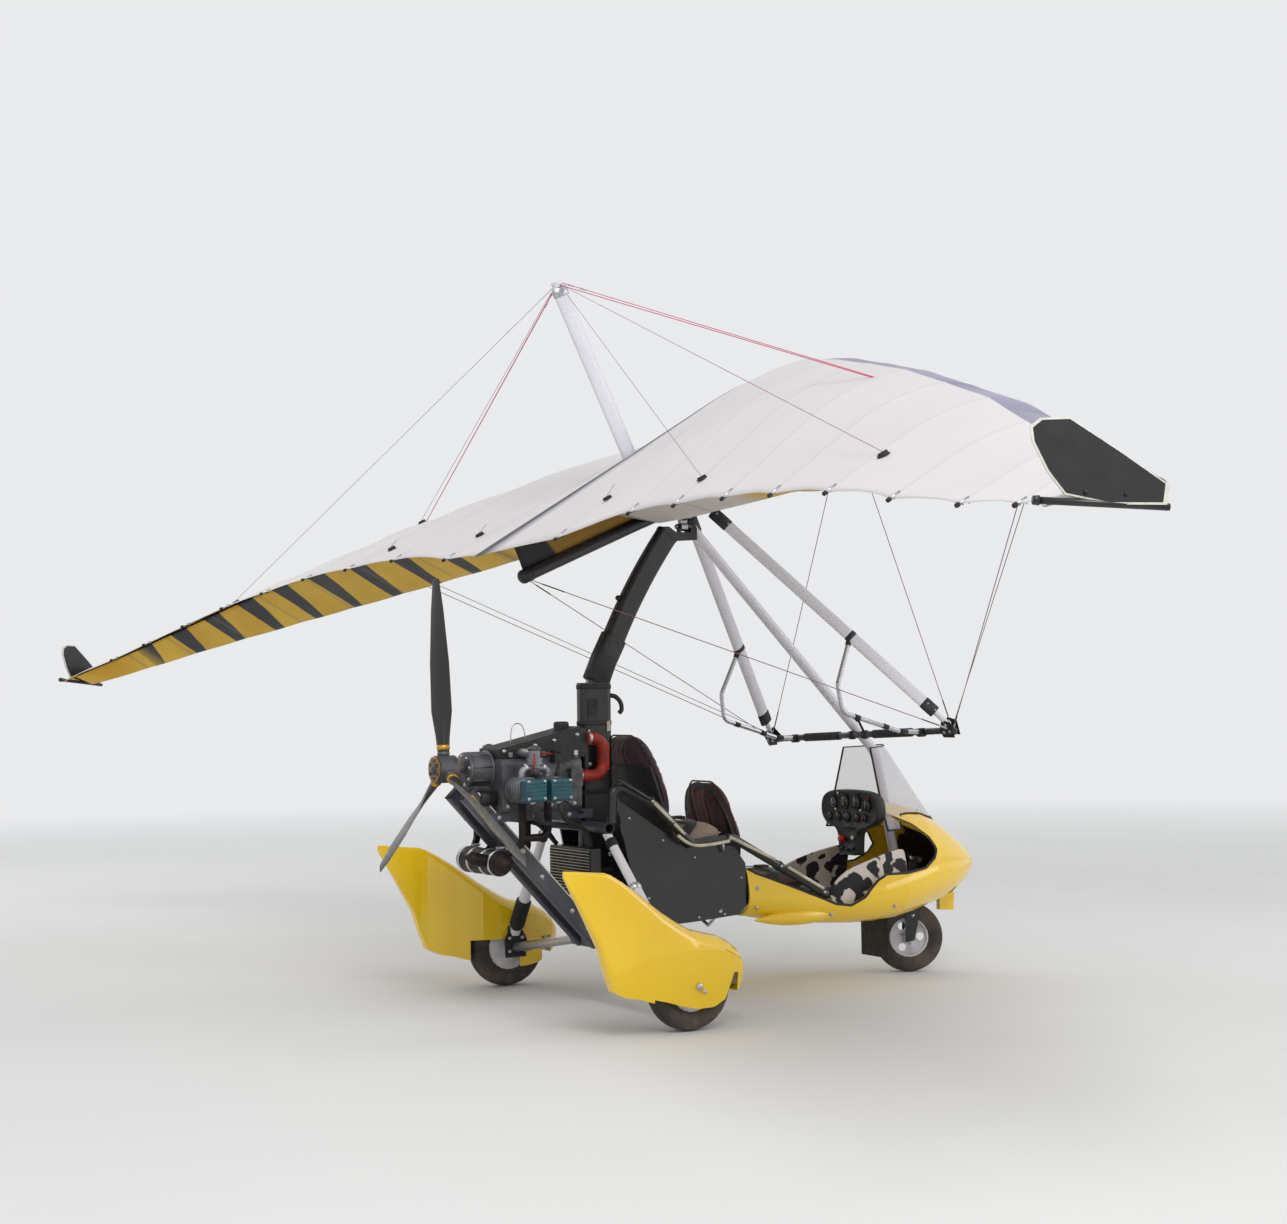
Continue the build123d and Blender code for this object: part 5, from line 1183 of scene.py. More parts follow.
# Side lining of the foot well, dark lining of the nose, floor mat and the roll under the hood's edge
lining_cloth = blotched()
LINING_TOP = [(1.215, 0.470), (1.260, 0.515), (1.304, 0.553), (1.370, 0.580), (1.439, 0.599),
    (1.500, 0.616), (1.564, 0.631),
              (1.640, 0.645), (1.709, 0.653)]
for side, hand in ((-1, "right"), (1, "left")):
    verts = []
    rows = 9
    for i, (x, z_top) in enumerate(LINING_TOP):
        z_low = 0.378 + 0.02 * abs(i - 4) / 4
        for k in range(rows):
            t = k / (rows - 1)
            z = z_low + t * (z_top - z_low)
            y = side * (0.292 - 0.040 * t + 0.010 * math.sin(math.pi * t) - 0.030 * max(0.0,
                (x - 1.5) / 0.21))
            verts.append(TRIKE @ Vector((x, y, z)))
    faces = [(i * rows + k, i * rows + k + 1, (i + 1) * rows + k + 1, (i + 1) * rows + k)
             for i in range(len(LINING_TOP) - 1) for k in range(rows - 1)]
    board = piece("foot_lining_" + hand, verts, faces, "trike", [lining_cloth])
    smooth = board.modifiers.new("round", "SUBSURF")
    smooth.levels = smooth.render_levels = 2
    thick = board.modifiers.new("board", "SOLIDIFY")
    thick.thickness, thick.offset = 0.007, 0.0

NOSE_ROWS = [(1.990, 0.115, 0.369, 0.226, 0.565, 0.800),
             (2.090, 0.090, 0.390, 0.180, 0.568, 0.745), (2.165, 0.065, 0.420, 0.135, 0.566, 0.693),
                 (2.240, 0.040, 0.450, 0.088, 0.563, 0.640)]
INSET = 0.013
verts, faces = [], []
ring_n = 40
for x, b, z0, w, zw, z1 in NOSE_ROWS:
    b, w, z0, z1 = b - INSET, w - INSET, z0 + INSET, z1 - INSET
    for k in range(ring_n):
        t = math.pi * (-0.5 + 2 * k / ring_n)
        c, s = math.cos(t), math.sin(t)
        top = s > 0
        y = math.copysign(abs(c) ** (1.0 if top else 0.62), c) * w
        z = zw + (z1 - zw) * s if top else zw + (zw - z0) * math.copysign(abs(s) ** 0.62, s)
        verts.append(TRIKE @ Vector((x, y * (0.97 if not top else 0.94),
            z if not top else zw + (z - zw) * 0.96)))
for r in range(len(NOSE_ROWS) - 1):
    faces += [(r * ring_n + k, (r + 1) * ring_n + k, (r + 1) * ring_n + (k + 1) % ring_n,
        r * ring_n + (k + 1) % ring_n)
              for k in range(ring_n)]
faces.append(tuple((len(NOSE_ROWS) - 1) * ring_n + k for k in range(ring_n)))
dark_lining = cloth("nose_lining_cloth", srgb(0.16, 0.10, 0.09), srgb(0.24, 0.15, 0.12), 500.0, 0.6)
piece("nose_lining", verts, faces, "trike", [dark_lining])

fit = Build()
mat_rows = []
for i in range(13):
    x = 1.190 + 0.60 * i / 12
    floor_z = 0.330 + 0.016 * abs(i - 6) / 6
    mat_rows += [(x, -0.200, floor_z), (x, 0.200, floor_z)]
fit.add(mat_rows, [(2 * i, 2 * i + 1, 2 * i + 3, 2 * i + 2) for i in range(12)], 0)
for side in (-1, 1):
    roll = curve_points([(1.650, side * 0.115, 0.812), (1.770, side * 0.120, 0.798),
        (1.890, side * 0.122, 0.752), (1.985, side * 0.120, 0.706)], 6)
    n = len(roll) - 1
    fit.tube(roll, [0.033 * math.sin(math.pi * (0.12 + 0.80 * i / n)) ** 0.5 for i in range(n + 1)], 1, 16)
    # pod fixings low on each side
    for x, z in ((1.568, 0.386), (0.760, 0.430), (0.760, 0.520), (1.180, 0.372)):
        p = hull_point(x, z, side)
        if p is not None:
            fit.bolt(p, (0, side, -0.15), 0.008, 2)
fit.make("cockpit_trim", "trike", [rubber, yellow, silver], "black_plastic", TRIKE)

# Instrument panel: rounded pod on its stem, gauges, switches, warning light and knob
PANEL_X, STEM_SHIFT = 1.540, 0.018
PANEL = [(0.000, 0.612), (0.066, 0.616), (0.072, 0.650), (0.080, 0.715), (0.110, 0.748), (0.180, 0.765),
    (0.226, 0.800), (0.238, 0.848),
         (0.222, 0.900), (0.170, 0.930), (0.090, 0.940), (0.000, 0.942)]
half_line = curve_points([(0, y, z) for y, z in PANEL], 5)
outline = half_line[:-1] + [Vector((p.x, -p.y, p.z)) for p in reversed(half_line)][:-1]
outline = [p + Vector((0, STEM_SHIFT * unit((0.79 - p.z) / 0.06), 0)) for p in outline]
centre = Vector((0, 0, 0.84))
panel = Build()
n = len(outline)
stages = [(0.004, 0.93), (0.0, 0.955), (0.003, 0.985), (0.012, 1.0), (0.046, 1.0), (0.056, 0.975),
    (0.060, 0.93)]


def shrink(p, k):
    anchor = centre if p.z > 0.76 else Vector((0, STEM_SHIFT, max(p.z, 0.640)))
    gap_in = (1 - k) * (0.24 if p.z > 0.76 else 0.10)
    d = p - anchor
    return p - d.normalized() * gap_in if d.length > gap_in else p


verts = [Vector((PANEL_X + off, q.y, q.z)) for off, k in stages for q in (shrink(p, k) for p in outline)]
faces = wall(len(stages), n)
faces += lids(len(stages), n)
panel.add(verts, faces, 0)
panel.tube([(1.575, 0, 0.840), (1.745, 0, 0.840)], 0.014, 1, 14)
panel.tube([(1.752, 0, 0.872), (1.764, 0, 0.812)], 0.031, 1, 20)
GAUGES = [(0.135, 0.872, 0.038), (0.040, 0.880, 0.040), (-0.055, 0.880, 0.040), (-0.145, 0.868, 0.034),
    (0.165, 0.806, 0.024),
          (0.095, 0.806, 0.024), (0.020, 0.806, 0.028), (-0.060, 0.806, 0.024), (-0.125, 0.806, 0.020)]
for g, (y, z, r) in enumerate(GAUGES):
    panel.lathe((PANEL_X + 0.004, y, z), (-1, 0, 0),
        [(0, r), (0.007, r), (0.009, r * 0.96), (0.009, r * 0.88), (0.006, r * 0.84)], 0, 32)
    panel.lathe((PANEL_X - 0.002, y, z), (-1, 0, 0), [(0, r * 0.85), (0.001, r * 0.85)], 2, 32)
    for k in range(11):
        t = math.radians(-130 + 26 * k)
        c, s = math.cos(t), math.sin(t)
        p = Vector((PANEL_X - 0.0036, y + s * r * 0.72, z + c * r * 0.72))
        q = Vector((PANEL_X - 0.0036, y + s * r * 0.60, z + c * r * 0.60))
        panel.tube([p, q], 0.0009, 3, 4)
    t = math.radians((-100, 40, -60, 15, 95, -30, 60, -75, 20)[g])
    panel.tube([(PANEL_X - 0.0042, y, z),
        (PANEL_X - 0.0042, y + math.sin(t) * r * 0.62, z + math.cos(t) * r * 0.62)], 0.0011,
            4 if g % 3 else 3, 5)
    panel.lathe((PANEL_X - 0.003, y, z), (-1, 0, 0), [(0, 0.004), (0.002, 0.004)], 1, 10)
for y, z, mat in ((-0.163, 0.905, 4), (0.085, 0.923, 3), (0.108, 0.842, 3), (-0.100, 0.843, 3)):
    panel.lathe((PANEL_X + 0.001, y, z), (-1, 0, 0), [(0, 0.006), (0.004, 0.006), (0.007, 0.003)], mat, 14)
panel.lathe((PANEL_X + 0.002, 0.036, 0.696), (-1, 0, 0),
    [(0, 0.010), (0.018, 0.010), (0.019, 0.019), (0.030, 0.021), (0.036, 0.015)], 4, 22)
panel.lathe((PANEL_X + 0.002, -0.028, 0.702), (-1, 0, 0), [(0, 0.010), (0.006, 0.011), (0.010, 0.006)], 3, 16)
for k in range(4):
    y = -0.036 + 0.024 * k
    panel.lathe((PANEL_X + 0.002, y, 0.752), (-1, 0, 0), [(0, 0.005), (0.005, 0.005)], 1, 10)
    panel.tube([(PANEL_X, y, 0.752), (PANEL_X - 0.016, y, 0.758 if k % 2 else 0.746)], [0.002, 0.003], 1, 8)
for y, z in ((-0.026, 0.648), (0.056, 0.648), (0.016, 0.642)):
    panel.lathe((PANEL_X + 0.002, y, z), (-1, 0, 0), [(0, 0.009), (0.008, 0.009), (0.010, 0.006)], 1, 16)
dash = panel.make("instrument_pod", "trike",
    [black_plastic, black_tube, gauge_face, mark_white, red_plastic], "black_plastic", TRIKE)
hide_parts("instrument_panel")

# Windscreen: one bent clear sheet round the strut, with dark edge trim
SCREEN_SIDE, SCREEN_Z0, SCREEN_Z1 = 1.590, 0.745, 1.165


def screen_point(q, z):
    """Point of the screen at q across, from -1 to 1, and height z."""
    t = (z - SCREEN_Z0) / (SCREEN_Z1 - SCREEN_Z0)
    half = 0.258 - 0.150 * t ** 0.9
    middle = 2.070 - 0.325 * t
    return Vector((SCREEN_SIDE + 0.01 * t + (middle - SCREEN_SIDE) * (1 - abs(q) ** 2.2), q * half, z))


across, upward = 41, 22
foot_z = []
for i in range(across):
    q = -1 + 2 * i / (across - 1)
    z = SCREEN_Z0
    while z < 0.92:
        p = TRIKE @ screen_point(q, z)
        hit = pod_tree.ray_cast(Vector((p.x, p.y, 2.0)), Vector((0, 0, -1)))[0]
        if hit is None or hit.z < z - 0.001:
            break
        z += 0.002
    foot_z.append(z)
verts = []
for i in range(across):
    q = -1 + 2 * i / (across - 1)
    for k in range(upward):
        verts.append(TRIKE @ screen_point(q,
            foot_z[i] + (SCREEN_Z1 - 0.012 * abs(q) - foot_z[i]) * k / (upward - 1)))
faces = [(i * upward + k, (i + 1) * upward + k, (i + 1) * upward + k + 1, i * upward + k + 1)
         for i in range(across - 1) for k in range(upward - 1)]
screen = piece("clear_windscreen", verts, faces, "trike", [glass])
thick = screen.modifiers.new("sheet", "SOLIDIFY")
thick.thickness, thick.offset = 0.003, 0.0
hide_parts("windscreen")
beading = Build()
for q in (-1, 1):
    i = 0 if q < 0 else across - 1
    beading.tube([screen_point(q, foot_z[i] + (SCREEN_Z1 - 0.012 - foot_z[i]) * k / 10) for k in range(11)],
        0.0048, 0, 10)
beading.tube([screen_point(-1 + 2 * i / 40, SCREEN_Z1 - 0.012 * abs(-1 + 2 * i / 40)) for i in range(41)],
    0.0030, 0, 8)
beading.tube([screen_point(-1 + 2 * i / 40, foot_z[i] + 0.002) for i in range(41)], 0.0050, 0, 8)
for q in (-0.92, -0.6, -0.25, 0.25, 0.6, 0.92):
    p = screen_point(q, foot_z[int((q + 1) * 20)] + 0.018)
    beading.bolt(p + Vector((0.002, 0, 0)), (0.6, q, 0.2), 0.0045, 1)
beading.make("screen_edges", "trike", [rubber, silver], "rubber", TRIKE)

# ---------------------------------------------------------------- engine details
engine = Build()
BLACK, STEEL, RED, CAST, TEAL, HOT = range(6)
for side in (-1, 1):
    for x in (-0.440, -0.310):
        # ribs and bolts on the covers, plug caps and leads
        for k in range(5):
            z = 0.990 + 0.0175 * k
            engine.tube([(x - 0.044, side * 0.3685, z), (x + 0.044, side * 0.3685, z)], 0.0035, TEAL, 8)
        for dx in (-0.040, 0.040):
            for dz in (-0.036, 0.040):
                engine.bolt((x + dx, side * 0.3670, 1.027 + dz), (0, side, 0), 0.0052, STEEL)
        engine.tube([(x + 0.030, side * 0.250, 1.072), (x + 0.034, side * 0.262, 1.118)], [0.010, 0.008],
            BLACK, 10)
        lead = curve_points([(x + 0.034, side * 0.262, 1.116), (x + 0.040, side * 0.272, 1.160),
            (x + 0.070, side * 0.230, 1.190),
                             (-0.235, side * 0.165, 1.176)], 6)
        engine.tube(lead, 0.0042, RED if x < -0.4 else BLACK, 8)
        for k in range(6):
            engine.lathe((x, side * (0.170 + 0.025 * k), 1.025), (0, side, 0),
                [(0, 0.058), (0.0022, 0.060), (0.0044, 0.058)], CAST, 32)
        hose = curve_points([(x, side * 0.330, 0.980), (x + 0.010, side * 0.335, 0.930),
            (x + 0.070, side * 0.280, 0.880),
                             (-0.130, side * 0.215, 0.840), (-0.050, side * 0.165, 0.742)], 7)
        engine.tube(hose, 0.011, BLACK, 12)
        engine.lathe((x, side * 0.330, 0.978), (0, 0, -1), [(0, 0.0135), (0.012, 0.0135)], STEEL, 16)
    # coil boxes, fuel pump and carburettor tops
    engine.lathe((-0.375, side * 0.225, 1.200), (0, 0, 1),
        [(0, 0.030), (0.012, 0.030), (0.016, 0.022), (0.022, 0.008)], CAST, 22)
    engine.lathe((-0.375, side * 0.225, 1.128), (0, 0, -1),
        [(0, 0.020), (0.020, 0.024), (0.044, 0.020), (0.048, 0.006)], CAST, 22)
    for x in (-0.420, -0.330):
        engine.lathe((x, side * 0.225, 1.121), (1, 0, 0), [(-0.006, 0.0205), (0.006, 0.0205)], STEEL, 20)
    engine.slab([(-0.255, side * 0.152, 1.140), (-0.175, side * 0.152, 1.140),
        (-0.175, side * 0.152, 1.196), (-0.255, side * 0.152, 1.196)],
                (0, side * 0.044, 0), BLACK)
    engine.slab([(-0.165, side * 0.152, 1.030), (-0.105, side * 0.152, 1.030),
        (-0.105, side * 0.152, 1.110), (-0.165, side * 0.152, 1.110)],
                (0, side * 0.036, 0), CAST)
    for x in (-0.47, -0.25, -0.13):
        engine.bolt((x, side * 0.1505, 0.950), (0, side, 0), 0.007, STEEL)
    for x, z in ((-0.460, 1.195), (-0.300, 1.218), (-0.202, 1.238), (-0.080, 1.262)):
        engine.bolt((x, side * 0.0955, z), (0, side, 0), 0.0065, STEEL)
    # clips along the joint of the top cover
    for x in (-0.43, -0.26, -0.09):
        engine.slab([(x - 0.010, side * 0.0955, 1.168), (x + 0.010, side * 0.0955, 1.168),
            (x + 0.010, side * 0.0955, 1.190), (x - 0.010, side * 0.0955, 1.190)],
                    (0, side * 0.004, 0), STEEL)
    # springs at the silencer, and loose fuel line
    coil = [Vector((-0.520 + 0.0007 * k, side * (0.120 + 0.006 * math.cos(k * 0.9)),
        0.764 + 0.006 * math.sin(k * 0.9))) for k in range(60)]
    engine.tube(coil, 0.0015, STEEL, 6)
    fuel = curve_points([(-0.375, side * 0.225, 1.100), (-0.350, side * 0.200, 1.060),
        (-0.240, side * 0.175, 1.000), (-0.140, side * 0.165, 0.930),
                         (-0.070, side * 0.120, 0.905)], 7)
    engine.tube(fuel, 0.005, BLACK, 8)
engine.tube(curve_points([(-0.378, 0, 1.226), (-0.375, 0, 1.280), (-0.364, 0, 1.310), (-0.340, 0, 1.318),
    (-0.318, 0, 1.308), (-0.307, 0, 1.283),
                          (-0.300, 0, 1.242)], 6), 0.0028, STEEL, 8)
# gearbox: flange, ribs and bolts
engine.lathe((-0.500, 0, 1.111), (-1, 0, 0), [(0.0, 0.088), (0.010, 0.088), (0.012, 0.082)], CAST, 40)
engine.lathe((-0.606, 0, 1.111), (-1, 0, 0),
    [(0.0, 0.0835), (0.008, 0.0835), (0.014, 0.076), (0.017, 0.040)], CAST, 40)
for k in range(8):
    t = math.radians(45 * k + 12)
    engine.bolt((-0.620, 0.066 * math.sin(t), 1.111 + 0.066 * math.cos(t)), (-1, 0, 0), 0.0055, STEEL)
    engine.tube([(-0.515, 0.081 * math.sin(t), 1.111 + 0.081 * math.cos(t)),
        (-0.600, 0.081 * math.sin(t), 1.111 + 0.081 * math.cos(t))], 0.0045, CAST, 6)
# oil filter low at the rear and starter on top of the gearbox side
engine.lathe((-0.500, -0.080, 0.985), (-1, 0, 0),
    [(0, 0.034), (0.070, 0.034), (0.080, 0.028), (0.082, 0.006)], BLACK, 28)
engine.lathe((-0.500, 0.085, 0.990), (-1, 0, 0),
    [(0, 0.036), (0.085, 0.036), (0.092, 0.026), (0.104, 0.010)], CAST, 28)
# hose clamps and folds on the red hose
for z, x in ((1.245, -0.020), (1.070, -0.072)):
    engine.lathe((x, -0.086, z), (1, 0, 0),
        [(0, 0.0285), (0.001, 0.0302), (0.012, 0.0302), (0.013, 0.0285)], STEEL, 26)
    engine.slab([(x + 0.002, -0.092, z + 0.030), (x + 0.011, -0.092, z + 0.030),
        (x + 0.011, -0.080, z + 0.030), (x + 0.002, -0.080, z + 0.030)], (0, 0, 0.008), STEEL)
for z in [1.100 + 0.0125 * k for k in range(10)]:
    engine.lathe((0.064, -0.086, z), (0, 0, 1), [(-0.004, 0.0280), (0.0, 0.0300), (0.004, 0.0280)], RED, 26)
# silencer: end cone, outlet, clamp bands and the pale spacer rod
engine.lathe((-0.520, -0.186, 0.700), (0, -1, 0),
    [(-0.004, 0.050), (0.010, 0.044), (0.034, 0.018), (0.040, 0.012)], HOT, 32)
engine.tube(curve_points([(-0.545, -0.120, 0.705), (-0.600, -0.122, 0.715), (-0.650, -0.124, 0.728),
    (-0.676, -0.125, 0.730)], 5), [0.030] * 10 + [0.026, 0.022, 0.016, 0.012, 0.006, 0.003], HOT, 20)
for y in (-0.150, -0.060, 0.060, 0.150):
    engine.lathe((-0.520, y - 0.008, 0.700), (0, 1, 0),
        [(0, 0.0575), (0.001, 0.0600), (0.015, 0.0600), (0.016, 0.0575)], STEEL, 36)
engine.tube([(-0.462, -0.110, 0.762), (-0.372, -0.112, 0.742)], 0.011, 6, 14)
engine.make("engine_details", "trike", [black_plastic, silver, red_hose, cast, teal, dull_steel, cream],
    "steel_dark", TRIKE)

# Radiator face with fins
fins_piece = Build()
for k in range(31):
    y = -0.180 + 0.012 * k
    fins_piece.slab([(-0.076, y, 0.530), (-0.076, y + 0.0025, 0.530), (-0.076, y + 0.0025, 0.730),
        (-0.076, y, 0.730)], (-0.0035, 0, 0), 0)
for z in [0.535 + 0.0136 * k for k in range(15)]:
    fins_piece.slab([(-0.0765, -0.184, z), (-0.0765, 0.184, z), (-0.0765, 0.184, z + 0.0025),
        (-0.0765, -0.184, z + 0.0025)], (-0.005, 0, 0), 1)
fins_piece.make("radiator_face", "trike", [black_tube, silver], "black_plastic", TRIKE)

# Beam ends, bolts and white strips along the rear frame's beam edges, a painted highlight
frame_bits = Build()
foot_p, top_p = Vector((0.030, 0, 0.300)), Vector((-0.640, 0, 1.010))
along = (top_p - foot_p).normalized()
across_beam = Vector((along.z, 0, -along.x))
for side in (-1, 1):
    for s in (0.10, 0.22, 0.45, 0.70, 0.90):
        p = foot_p + (top_p - foot_p) * s + Vector((0, side * 0.0925, 0))
        frame_bits.bolt(p, (0, side, 0), 0.0075, 0)
    # painted highlight: thin white strip where the beam's side face meets its top face
    a = foot_p + along * 0.10 + across_beam * 0.0385 + Vector((0, side * 0.090, 0))
    b = top_p - along * 0.03 + across_beam * 0.0385 + Vector((0, side * 0.090, 0))
    frame_bits.tube([a, b], 0.0032, 1, 8)
    end = top_p + Vector((0, side * 0.070, 0))
    cap_ring = []
    for u, v in ((-0.038, -0.020), (0.038, -0.020), (0.038, 0.020), (-0.038, 0.020)):
        cap_ring.append(end + across_beam * u + Vector((0, v, 0)))
    frame_bits.slab(cap_ring, along * 0.006, 2)
    frame_bits.slab([Vector((-0.640, side * 0.0925, 0.992)), Vector((-0.622, side * 0.0925, 1.008)),
        Vector((-0.572, side * 0.0925, 0.950)),
                     Vector((-0.590, side * 0.0925, 0.934))], (0, side * 0.0025, 0), 3)
    for x in (-0.50, -0.32, -0.14):
        frame_bits.bolt((x, side * 0.1205, 0.900), (0, side, 0), 0.007, 0)
    # drag strut from the wheel upright to the keel beam, with end eyes
    a, b = Vector((0.045, side * 0.745, 0.178)), Vector((0.275, side * 0.026, 0.378))
    d = (b - a).normalized()
    frame_bits.tube([a, b], 0.013, 4, 16)
    frame_bits.tube([a - d * 0.004, a + d * 0.04], 0.017, 2, 16)
    frame_bits.tube([b - d * 0.04, b + d * 0.004], 0.017, 2, 16)
frame_bits.make("frame_bits", "trike", [silver, mark_white, rubber, gold, silver], "steel_bolt", TRIKE,
    bevel=0.0008)

# ---------------------------------------------------------------- suspension, wheels and propeller
gear = Build()
for side in (-1, 1):
    top = Vector((-0.0428, side * 0.290, 0.8147))
    foot = Vector((0.025, side * 0.760, 0.2553))
    d = (foot - top).normalized()
    length = (foot - top).length
    start = length * 0.66
    bellows = [(start, 0.0275)]
    for k in range(10):
        bellows += [(start + 0.006 + 0.017 * k, 0.031), (start + 0.0145 + 0.017 * k, 0.0385)]
    bellows += [(start + 0.180, 0.030), (start + 0.192, 0.0275)]
    gear.lathe(top, d, bellows, 0, 28)
    gear.lathe(top, d, [(length * 0.395, 0.0275), (length * 0.40, 0.031), (length * 0.43, 0.031),
        (length * 0.435, 0.0275)], 1, 28)
    gear.lathe(top, d, [(0.035, 0.0215), (0.038, 0.026), (0.075, 0.026), (0.078, 0.0215)], 0, 24)
    # black hub upright, brake disc cover and axle nut
    y = side * 0.760
    gear.slab([(-0.030, y - side * 0.0145, 0.150), (0.080, y - side * 0.0145, 0.150),
        (0.086, y - side * 0.0145, 0.235), (0.052, y - side * 0.0145, 0.300),
               (-0.002, y - side * 0.0145, 0.300), (-0.036, y - side * 0.0145, 0.235)],
                   (0, -side * 0.010, 0), 0)
    for x, z in ((-0.010, 0.180), (0.060, 0.180), (0.060, 0.245), (-0.010, 0.245)):
        gear.bolt((x, y - side * 0.0245, z), (0, -side, 0), 0.006, 1)
    gear.lathe((0.025, side * 0.946, 0.195), (0, side, 0),
        [(-0.002, 0.0170), (0.0, 0.0170), (0.0015, 0.0150)], 1, 6)
    # spat fixings
    for x, z, off in ((0.051, 0.172, 0.9445),):
        gear.lathe((x, side * (off - 0.0005), z), (0, side, 0),
            [(0, 0.0095), (0.0015, 0.0095), (0.003, 0.006)], 1, 16)
gear.make("gear_trim", "trike", [rubber, silver], "rubber", TRIKE)


def tyre(name, centre_point, axis, r, width, rim_r, body, node, grooves):
    """Tyre with rounded shoulders and tread grooves, turned about its axle."""
    half = width / 2
    line = [(-0.37 * width, rim_r + 0.001), (-0.445 * width, rim_r + 0.12 * (r - rim_r)),
        (-0.495 * width, rim_r + 0.40 * (r - rim_r)),
            (-0.495 * width, rim_r + 0.62 * (r - rim_r)), (-0.455 * width, rim_r + 0.80 * (r - rim_r))]
    crown = []
    shoulder = 0.40 * width
    steps = 28
    for k in range(steps + 1):
        s = -shoulder + 2 * shoulder * k / steps
        crown.append((s, r - (r - rim_r) * 0.10 * (abs(s) / shoulder) ** 2.2))
    cut = []
    for s, radius in crown:
        near = min(abs(s - g) for g in grooves)
        cut.append((s, radius - (0.0045 if near < 0.0022 else 0.0)))
    loop = line + cut + [(-s, radius) for s, radius in reversed(line)] + [(0.30 * width, rim_r - 0.004),
        (-0.30 * width, rim_r - 0.004)]
    sides = 96
    axis = Vector(axis).normalized()
    side = axis.orthogonal().normalized()
    other = axis.cross(side)
    verts, faces = [], []
    m = len(loop)
    for k in range(sides):
        t = 2 * math.pi * k / sides
        spoke = side * math.cos(t) + other * math.sin(t)
        for j, (s, radius) in enumerate(loop):
            nibble = 0.0
            if abs(abs(s) - shoulder) < 0.004 and k % 4 == 0:
                nibble = 0.003
            verts.append(centre_point + axis * s + spoke * (radius - nibble))
    for k in range(sides):
        for j in range(m):
            a, b = k * m + j, k * m + (j + 1) % m
            c, e = ((k + 1) % sides) * m + (j + 1) % m, ((k + 1) % sides) * m + j
            faces.append((a, b, c, e))
    obj = piece(name, verts, faces, body, [tyre_rubber])
    turn_out(obj)
    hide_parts(node)
    return obj


for side, hand in ((1, "left"), (-1, "right")):
    hub = TRIKE @ Vector((0.025, side * 0.850, 0.195))
    tyre("tyre_" + hand, hub, (0, 1, 0), 0.1945, 0.106, 0.112, "wheel_" + hand, "main_tyre_" + hand,
        (-0.024, -0.008, 0.008, 0.024))
    hubs = Build()
    for face in (-1, 1):
        for k in range(5):
            t = math.radians(72 * k + 36)
            hubs.bolt(hub + Vector((0.045 * math.cos(t), face * 0.0055, 0.045 * math.sin(t))), (0, face, 0),
                0.006, 0)
        hubs.lathe(hub + Vector((0, face * 0.005, 0)), (0, face, 0),
            [(0, 0.034), (0.006, 0.031), (0.008, 0.028)], 1, 28)
        hubs.lathe(hub + Vector((0, face * 0.0375, 0)), (0, face, 0),
            [(0, 0.1055), (0.0012, 0.1075), (0.0024, 0.1055)], 1, 48)
    hubs.make("hub_bolts_" + hand, "wheel_" + hand, [silver, rim_paint], "steel_bolt")

nose_axis = Vector((0.5, 0.866025, 0))
nose_hub = Vector((1.38036, 0.02, 0.177))
tyre("tyre_nose", nose_hub, nose_axis, 0.1765, 0.090, 0.100, "nose_wheel", "nose_tyre", (-0.018, 0.0, 0.018))
nose_bits = Build()
for face in (-1, 1):
    side_v = nose_axis.orthogonal().normalized()
    other_v = nose_axis.cross(side_v)
    for k in range(6):
        t = math.radians(60 * k)
        spoke = side_v * math.cos(t) + other_v * math.sin(t)
        nose_bits.bolt(nose_hub + nose_axis * face * 0.0055 + spoke * 0.036, nose_axis * face, 0.0045, 0)
    nose_bits.lathe(nose_hub + nose_axis * face * 0.005, nose_axis * face, [(0, 0.028), (0.006, 0.026)], 1,
        24)
nose_bits.make("nose_hub_bolts", "nose_wheel", [silver, rim_paint], "steel_bolt")

steer = Build()
turn = Matrix.Translation((HEAD_X, 0, 0)) @ Matrix.Rotation(math.radians(-30), 4,
    "Z") @ Matrix.Translation((-HEAD_X, 0, 0))
for side in (-1, 1):
    steer.lathe((HEAD_X, side * 0.085, 0.582), (0, side, 0),
        [(0, 0.012)] + [(0.004 + 0.009 * k, 0.0150 + 0.0018 * (k % 2)) for k in range(10)] + [(0.098,
            0.012)], 0, 22)
    for z in (0.290, 0.345):
        steer.bolt((1.930, side * 0.0635, z), (0, side, 0), 0.006, 1)
steer.lathe((HEAD_X, 0, 0.565), (0, 0, 1), [(0, 0.020), (0.004, 0.023), (0.020, 0.023), (0.024, 0.018)], 1,
    20)
steer.make("foot_bar_grips", "steering", [rubber, silver], "rubber", TRIKE @ turn)

prop = Build()
hub_point = Vector((PROP_X, 0, PROP_Z))
for k in range(3):
    spin = Matrix.Rotation(math.radians(120 * k - PROP_ANGLE), 4, "X")
    for r, chord, thick_here, twist, wide, mat in ((0.098, 0.058, 0.046, 57.5, 0.022, 0),
        (0.070, 0.054, 0.049, 59.5, 0.016, 1)):
        t = math.radians(90 + twist)
        c_dir, t_dir = Vector((math.cos(t), math.sin(t), 0)), Vector((-math.sin(t), math.cos(t), 0))
        rings = []
        for dz, grow in ((-wide / 2, -0.003), (-wide / 2 + 0.003, 0.001), (wide / 2 - 0.003, 0.001),
            (wide / 2, -0.003)):
            for j in range(28):
                g = 2 * math.pi * j / 28
                across_blade = c_dir * math.cos(g) * (chord / 2 + grow)
                through_blade = t_dir * math.sin(g) * (thick_here / 2 + grow)
                rings.append(hub_point + spin @ (Vector((0, 0, r + dz)) + across_blade + through_blade))
        faces = wall(4, 28)
        prop.add(rings, faces, mat)
for face, reach_out in ((-1, 0.0455), (1, 0.0455)):
    prop.lathe((PROP_X + face * reach_out, 0, PROP_Z), (face, 0, 0),
        [(0, 0.058), (0.0015, 0.060), (0.005, 0.060), (0.0065, 0.050)], 2, 40)
